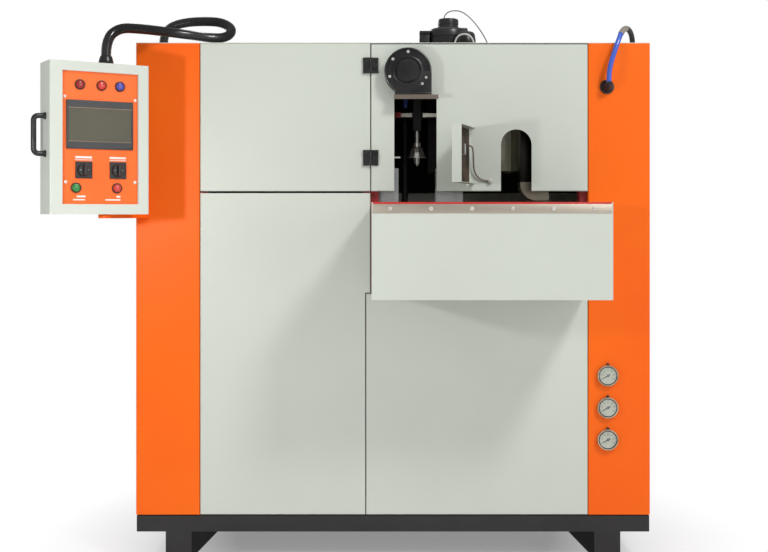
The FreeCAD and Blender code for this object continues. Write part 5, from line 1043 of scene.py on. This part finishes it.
RIM_SHADE_PROFILE = [
    (DIAL_RADIUS - 0.0022, 0.0003), (DIAL_RADIUS - 0.0002, 0.0003), (DIAL_RADIUS - 0.0002, 0.0022),
    (DIAL_RADIUS - 0.001, 0.0026), (DIAL_RADIUS - 0.0022, 0.0022), (DIAL_RADIUS - 0.0022, 0.0003),
]
LUG_PROFILE = [
    (0.0048, 0), (0.0052, 0.0006), (0.0052, 0.003), (0.0036, 0.0042), (0.003, 0.0064), (0.0022, 0.007),
]
PANE_PROFILE = [(DIAL_RADIUS - 0.0002, 0), (DIAL_RADIUS - 0.0002, 0.0008), (DIAL_RADIUS - 0.0012, 0.0011)]
gauge_low, gauge_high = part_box("gauge_cases")
gauge_x = (gauge_low[0] + gauge_high[0]) / 2
gauge_levels = [gauge_high[2] - GAUGE_RADIUS - GAUGE_STEP * index for index in range(3)]
case_face = FRONT_FACE - GAUGE_PROUD
dial_face = case_face + DIAL_SUNK


def on_gauges(name, form, face, material, slot, *stands_for, up=0.0, facing="front"):
    """Turns a form to where it faces and copies it to the three gauges."""
    stand(form, (0, 0, 0), FACE_TURNS[facing])
    spots = [(gauge_x, face, level + up) for level in gauge_levels]
    belongs(set_out(form, name, spots), material, slot, "frame", *stands_for)


case_chrome = finish(
    "gauge_case_chrome", (0.64, 0.6, 0.46), (0.42, 0.38, 0.28), (0.1, 0.22), 60, 700, 0.0, 0.85
)
dial_white = finish("gauge_dial", (0.74, 0.76, 0.66), (0.66, 0.68, 0.58), (0.3, 0.42), 30, 900)
dial_ink = finish("dial_ink", (0.02, 0.02, 0.022), (0.04, 0.04, 0.042), (0.4, 0.5), 60, 900)
gauge_glass, tree = new_surface("gauge_glass")
spot = add_node(tree, "TexCoord").outputs["Object"]
smears = add_node(tree, "TexNoise", {"Vector": spot, "Scale": 60})
haze = remap(tree, smears, end=(0, 0.05))
shader = tree.nodes["Principled BSDF"]
feed(shader, {"Base Color": (0.98, 0.99, 0.98, 1), "Metallic": 0.0, "Roughness": haze})
feed(shader, {"Transmission Weight": 1.0, "IOR": 1.45})

on_gauges("gauge_rims", build_up(CASE_PROFILE, 64), case_face, case_chrome, "chrome", "gauge_cases")
on_gauges("gauge_dials", build_up(DIAL_PROFILE, 64), dial_face, dial_white, "tube_plastic")
# Painted shade: a black ring inside each rim stands for the shadow line between rim and dial.
on_gauges("gauge_rim_shade_rings", hollow_ring(RIM_SHADE_PROFILE, 56), dial_face, black_plastic, "black_plastic")
lug_place = {"up": 0.0336, "facing": "up"}
lug = build_up(LUG_PROFILE, 20)
on_gauges("gauge_case_lugs", lug, case_face + 0.0075, black_plastic, "black_plastic", **lug_place)
marks = []
mark_top = DIAL_RADIUS - MARK_IN
for step in range(MARKS):
    long = LONG_MARK if step % 4 == 0 else SHORT_MARK
    mark = block((-MARK_HALF, -0.0001, mark_top - long), (MARK_HALF, 0.0, mark_top))
    marks.append(stand(mark, (0, 0, 0), (0, math.radians(FIRST_MARK + step * MARK_TURN), 0)))
for step in range(NUMBERS):
    angle = math.radians(FIRST_MARK + step * NUMBER_TURN)
    bpy.ops.object.text_add()
    number = bpy.context.object
    number.data.body = str(step * 2)
    number.data.size = NUMBER_SIZE
    number.data.extrude = INK_THICK
    number.data.align_x = "CENTER"
    number.data.align_y = "CENTER"
    choose(number)
    bpy.ops.object.convert(target="MESH")
    reach = DIAL_RADIUS - NUMBER_IN
    marks.append(stand(number, (reach * math.sin(angle), -INK_THICK, reach * math.cos(angle))))
scale = weld("scale", *marks)
on_gauges("gauge_scales", scale, dial_face - 0.0003, dial_ink, "black_plastic", facing="up")
dress(dial_ink, "gauge_pointer_upper", "gauge_pointer_middle", "gauge_pointer_lower")
on_gauges("gauge_windows", build_up(PANE_PROFILE, 48), case_face + 0.0026, gauge_glass, "screen")

# ---- Air inlet ----
# Black round flange on the right column with a hexagon nut, and an elbow that turns the blue
# hose upwards. The elbow is bent in steps round its corner.

HOSE_AXIS, HOSE_SEAT, INLET_UP = -0.41, 1.54, 0.023
ELBOW_RADIUS, ELBOW_LONG, ELBOW_STEPS, COLLAR_GROWTH, COLLAR_FROM = 0.0098, 0.0225, 7, 1.12, 0.55
INLET_FLANGE = [
    (0.023, 0), (0.023, 0.0036), (0.0222, 0.0052), (0.02, 0.006), (0.0165, 0.0062), (0.016, 0.005),
]
INLET_NUT = [(0.015, 0.003), (0.0155, 0.006), (0.0155, 0.0205), (0.0142, 0.0225), (0.0105, 0.0228)]
inlet_low, inlet_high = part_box("air_fitting")
inlet_x = (inlet_low[0] + inlet_high[0]) / 2
inlet_z = inlet_low[2] + INLET_UP
inlet_seat = (inlet_x, FRONT_FACE, inlet_z)
flange = turned(INLET_FLANGE, 56, inlet_seat)
inlet_nut = turned(INLET_NUT, 6, inlet_seat)
elbow = turned([(ELBOW_RADIUS, 0.0), (ELBOW_RADIUS, ELBOW_LONG)], 28, inlet_seat)
turn_radius = abs(HOSE_AXIS - FRONT_FACE) - ELBOW_LONG
riser_long = HOSE_SEAT - (inlet_z + turn_radius)
edit(elbow, looks_front)
sweep(90, ELBOW_STEPS, "X", (inlet_x, FRONT_FACE - ELBOW_LONG, inlet_z + turn_radius))
pull(0, 0, riser_long * COLLAR_FROM)
bpy.ops.mesh.extrude_region_move()
bpy.ops.transform.resize(
    value=(COLLAR_GROWTH, COLLAR_GROWTH, 1), center_override=(inlet_x, HOSE_AXIS, HOSE_SEAT)
)
pull(0, 0, riser_long * 0.45 - 0.0004)
close()
inlet = weld("air_inlet_elbow", flange, inlet_nut, elbow)
belongs(inlet, black_plastic, "black_plastic", "frame", "air_fitting")

# ---- Roof unit ----
# Fan drum and motor of the oven in black, with a terminal box, a capacitor and a filter bowl in
# front. Drum and motor have pressed ribs, and the bowl is moulded plastic.

FAN_X, FAN_Y = 0.192, -0.06
CAN_X, CAN_Y, BOWL_X, BOWL_Y = FAN_X + 0.036 + 0.016, FAN_Y - 0.008, FAN_X + 0.056, FAN_Y - 0.082
DRUM_PROFILE = [
    (0.0665, 0.0), (0.0665, 0.006), (0.0645, 0.008), (0.0645, 0.03), (0.066, 0.032),
    (0.066, 0.038), (0.0645, 0.04), (0.0645, 0.062), (0.0665, 0.064), (0.0665, 0.084),
    (0.064, 0.089), (0.0585, 0.092), (0.038, 0.092), (0.036, 0.091),
]
MOTOR_PROFILE = [
    (0.035, 0.091), (0.036, 0.093), (0.036, 0.101), (0.0345, 0.102), (0.0345, 0.106),
    (0.036, 0.107), (0.036, 0.12), (0.035, 0.125), (0.0315, 0.1275), (0.012, 0.128),
]
CAN_PROFILE = [(0.016, 0.0), (0.016, 0.09), (0.015, 0.0935), (0.013, 0.095), (0.006, 0.095)]
BOWL_PROFILE = [
    (0.029, 0.0), (0.031, 0.003), (0.0335, 0.014), (0.034, 0.024), (0.034, 0.046), (0.0325, 0.05),
    (0.0325, 0.055), (0.0305, 0.063), (0.0258, 0.069), (0.018, 0.0715), (0.006, 0.072),
]
fan_black = dusty(
    0.25, "fan_black", (0.008, 0.008, 0.009), (0.018, 0.018, 0.019), (0.22, 0.38), 14, 700, 0.00005
)
drum = turned(DRUM_PROFILE, 56, (FAN_X, FAN_Y, ROOF_TOP), "up")
motor = turned(MOTOR_PROFILE, 56, (FAN_X, FAN_Y, ROOF_TOP), "up")
can = turned(CAN_PROFILE, 40, (CAN_X, CAN_Y, ROOF_TOP), "up")
bowl = turned(BOWL_PROFILE, 56, (BOWL_X, BOWL_Y, ROOF_TOP), "up")
terminal = block(
    (FAN_X - 0.1, FAN_Y - 0.025, ROOF_TOP),
    (FAN_X - 0.0645, FAN_Y + 0.025, ROOF_TOP + 0.072),
    0.003,
    3,
)
lid = block(
    (FAN_X - 0.1, FAN_Y - 0.0265, ROOF_TOP + 0.073),
    (FAN_X - 0.062, FAN_Y + 0.0265, ROOF_TOP + 0.084),
    0.002,
    3,
)
fan_unit = weld("roof_fan_unit", drum, motor, can, terminal, lid)
belongs(fan_unit, fan_black, "black_paint", "frame", "roof_fan")
belongs(settle(bowl, "air_filter_bowl", 40), blower_black, "black_plastic")

# ---- Blow station ----
# Nickel-plated carriage and rod and machined aluminium moulds. Behind the slot a pale guide bar
# lies on each side of the black barrel, with a red clamp and a white ejector tip at its left and
# a blue push fitting for the blowing air.

FITTING_PROFILE = [
    (0.005, 0), (0.007, 0.0008), (0.0078, 0.003), (0.0078, 0.012),
    (0.0086, 0.013), (0.0086, 0.019), (0.0078, 0.02), (0.0078, 0.03),
]
satin_nickel = finish(
    "satin_nickel", (0.86, 0.85, 0.81), (0.62, 0.61, 0.58), (0.12, 0.24), 60, 600, 0.00002, 0.85
)
machined = brushed("machined_aluminium", (0.66, 0.67, 0.68), (0.52, 0.53, 0.54), (0.24, 0.42), 600)
guide_pale = finish(
    "guide_bar_pale", (0.9, 0.87, 0.76), (0.8, 0.76, 0.66), (0.34, 0.46), 24, 700, 0.00003
)
fitting_blue = finish("fitting_blue", (0.02, 0.04, 0.2), (0.015, 0.03, 0.15), (0.24, 0.34), 40, 700)
dress(satin_nickel, "blow_carriage", "stretch_rod")
dress(machined, "mould_left", "mould_right")
dress(blackened_steel, "mould_slide", "blow_guide")
bars = [
    block((near, -0.2665, 1.4405), (far, -0.2562, 1.453), 0.0008)
    for near, far in ((0.0265, 0.063), (0.0985, 0.144))
]
belongs(weld("barrel_guide_bars", *bars), guide_pale, "aluminium")
clamp = block((0.008, -0.269, 1.4375), (0.0262, -0.254, 1.456), 0.0015, 3)
belongs(settle(clamp, "guide_bar_clamp"), red_primer, "red_paint")
TIP_PROFILE = [(0.0032, 0), (0.0032, 0.016), (0.0024, 0.019), (0.0012, 0.0195)]
tip = turned(TIP_PROFILE, 20, (0.0045, -0.3, 1.3045), "right")
belongs(settle(tip, "ejector_tip"), label_white, "tube_plastic")
push_fitting = turned(FITTING_PROFILE, 28, (0.0405, -0.268, 1.47), "up")
belongs(settle(push_fitting, "blow_air_push_fitting"), fitting_blue, "blue_hose")

# ---- Outlet chute ----
# Bent stainless trough behind the arch: a back sheet with a flange on each side that curves from
# upright to level, drawn once as a profile and swept round the bend. A post carries it, and a
# smoked riser sheet stands on it.

CHUTE_LEFT, CHUTE_LOW, CHUTE_BEND, CHUTE_TOP = 0.418, 1.165, 0.052, 1.2245
CHUTE_FRONT, CHUTE_REAR, CHUTE_FLANGE, CHUTE_END = -0.295, -0.203, 0.034, 0.511
RISER_LOW, RISER_TOP, SHEET, SHEET_ROUND = 1.2252, 1.395, 0.0015, 0.0004
extrude_edges = bpy.ops.mesh.extrude_edges_move
bend_x, bend_z = CHUTE_LEFT + CHUTE_BEND, CHUTE_LOW + CHUTE_BEND
flange_x = CHUTE_LEFT + CHUTE_FLANGE
choose()
bpy.ops.mesh.primitive_plane_add(size=1)
chute = bpy.context.object
edit(chute, level="VERT")
section = bmesh.from_edit_mesh(chute.data)
for line in list(section.edges):
    section.edges.remove(line)
points = list(section.verts)
corners = (
    (flange_x, CHUTE_FRONT), (CHUTE_LEFT, CHUTE_FRONT), (CHUTE_LEFT, CHUTE_REAR), (flange_x, CHUTE_REAR)
)
for point, corner in zip(points, corners):
    point.co = (*corner, CHUTE_TOP)
for first, second in zip(points, points[1:]):
    section.edges.new((first, second))
bmesh.update_edit_mesh(chute.data)
bpy.ops.mesh.select_all(action="SELECT")
pull(0, 0, bend_z - CHUTE_TOP, extrude=extrude_edges)
sweep(90, 12, "Y", (bend_x, 0, bend_z), extrude_edges)
pull(CHUTE_END - CHUTE_LEFT - CHUTE_BEND, 0, 0, extrude=extrude_edges)
bpy.ops.mesh.select_all(action="SELECT")
bpy.ops.mesh.normals_make_consistent(inside=False)
close()
shape_by(chute, "SOLIDIFY", thickness=SHEET, offset=0)
chute_post = block((bend_x, -0.264, 0.862), (bend_x + 0.03, -0.234, 1.1645), 0.002)
chute = weld("outlet_chute_trough", chute, chute_post, angle=30)
chute_steel = brushed("chute_steel", (0.5, 0.44, 0.35), (0.28, 0.25, 0.2), (0.26, 0.4))
belongs(chute, chute_steel, "stainless", "frame", "outlet_chute")
riser_back = block(
    (CHUTE_LEFT, CHUTE_FRONT, RISER_LOW), (CHUTE_LEFT + SHEET, CHUTE_REAR, RISER_TOP), SHEET_ROUND
)
riser_front = block(
    (CHUTE_LEFT + SHEET, CHUTE_FRONT, RISER_LOW), (flange_x, CHUTE_FRONT + SHEET, RISER_TOP), SHEET_ROUND
)
riser = weld("outlet_chute_riser", riser_back, riser_front)
dark_steel = brushed("smoked_sheet_steel", (0.045, 0.042, 0.036), (0.03, 0.028, 0.024), (0.3, 0.44))
belongs(riser, dark_steel, "stainless")

# ---- Oven ----
# Dark oven behind the guard door. On its right end, seen through the arch, are a cream front
# sheet with its folded edge strip and a box behind it in a darker olive copy of the cream, which
# paints the shade on that box.

FRONT_SHEET, SHEET_GAP, SHEET_LOWER = 0.07, 0.0003, 0.004
cream = finish("cream_enamel", (0.95, 0.94, 0.74), (0.9, 0.88, 0.68), (0.3, 0.42), 8, 500, 0.00004)
shaded_cream = finish("cream_in_painted_shade", (0.36, 0.36, 0.22), (0.28, 0.28, 0.17), (0.36, 0.48), 8, 500, 0.00004)
dress(blackened_steel, "oven")
oven_low, oven_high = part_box("oven")
sheet_front, sheet_top = oven_low[1] - SHEET_GAP - SHEET, oven_high[2] - SHEET_LOWER
front_sheet = block(
    (oven_high[0] - FRONT_SHEET, sheet_front, oven_low[2]),
    (oven_high[0] + 0.0006, oven_low[1] - SHEET_GAP, sheet_top),
    SHEET_ROUND,
)
edge_strip = block(
    (oven_high[0] + 0.0004, sheet_front, oven_low[2]),
    (oven_high[0] + 0.0088, oven_low[1] + 0.02, sheet_top),
    0.001,
)
belongs(weld("oven_edge_strip", front_sheet, edge_strip), cream, "grey_paint")
# Painted shade: the side cover takes a darker copy of the cream for the shade that falls on it.
side_cover = block(
    (oven_high[0] + 0.0092, oven_low[1] + 0.003, oven_low[2] + 0.002),
    (oven_high[0] + 0.037, oven_high[1] - 0.01, sheet_top),
    0.002,
    3,
)
belongs(settle(side_cover, "oven_side_cover"), shaded_cream, "grey_paint")

# ---- Vent filter, rear seal and apron rim ----
# A black filter mat lies behind the slots of the rear panel, and a foam seal under its lower
# edge. The apron's rim is painted red, which shows as a thin line over the stainless strip.

filter_black = finish(
    "filter_foam", (0.006, 0.006, 0.006), (0.014, 0.014, 0.014), (0.75, 0.9), 30, 260, 0.0008
)
for name, low, high, rounding in (
    ("rear_vent_filter", (-0.78, 0.347, 1.2), (0.78, 0.3525, 1.64), 0.002),
    ("rear_panel_seal", (-0.8, 0.356, 0.1513), (0.8, 0.366, 0.1547), 0.0004),
):
    belongs(settle(block(low, high, rounding), name), filter_black, "black_plastic")

RIM_OUT, RIM_IN, RIM_END, RIM_REAR, RIM_ROUND = 0.0006, 0.0026, 0.004, -0.38, 0.0006
apron_low, apron_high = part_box("apron")
rim_low, rim_high = strip_high[2] + 0.0003, apron_high[2] + 0.0008
rim_parts = [
    block((left, front, rim_low), (right, rear, rim_high), RIM_ROUND)
    for left, right, front, rear in (
        (apron_low[0] + RIM_END, apron_high[0] - RIM_END, apron_low[1] - RIM_OUT, apron_low[1] + RIM_IN),
        (apron_low[0] - RIM_OUT, apron_low[0] + RIM_IN, apron_low[1] + RIM_END, RIM_REAR),
        (apron_high[0] - RIM_IN, apron_high[0] + RIM_OUT, apron_low[1] + RIM_END, RIM_REAR),
    )
]
bright_red = finish("rim_red", (0.62, 0.02, 0.012), (0.48, 0.016, 0.01), (0.36, 0.48), 20, 700, 0.00003)
belongs(weld("apron_red_rim", *rim_parts), bright_red, "red_paint")

# ---- Inside the cabinet ----
# What the doors hide is finished plainly: the receiver in blue enamel and the electrical plate
# in galvanised sheet.

tank_enamel = dusty(
    0.4, "tank_enamel", (0.045, 0.13, 0.36), (0.035, 0.1, 0.28), (0.28, 0.4), 5, 500, 0.00004, coat=0.2
)
dress(tank_enamel, "air_receiver")
galvanised = finish(
    "galvanised_sheet", (0.6, 0.61, 0.6), (0.44, 0.45, 0.45), (0.34, 0.5), 18, 300, 0.00003, 0.8
)
dress(galvanised, "electrical_plate")
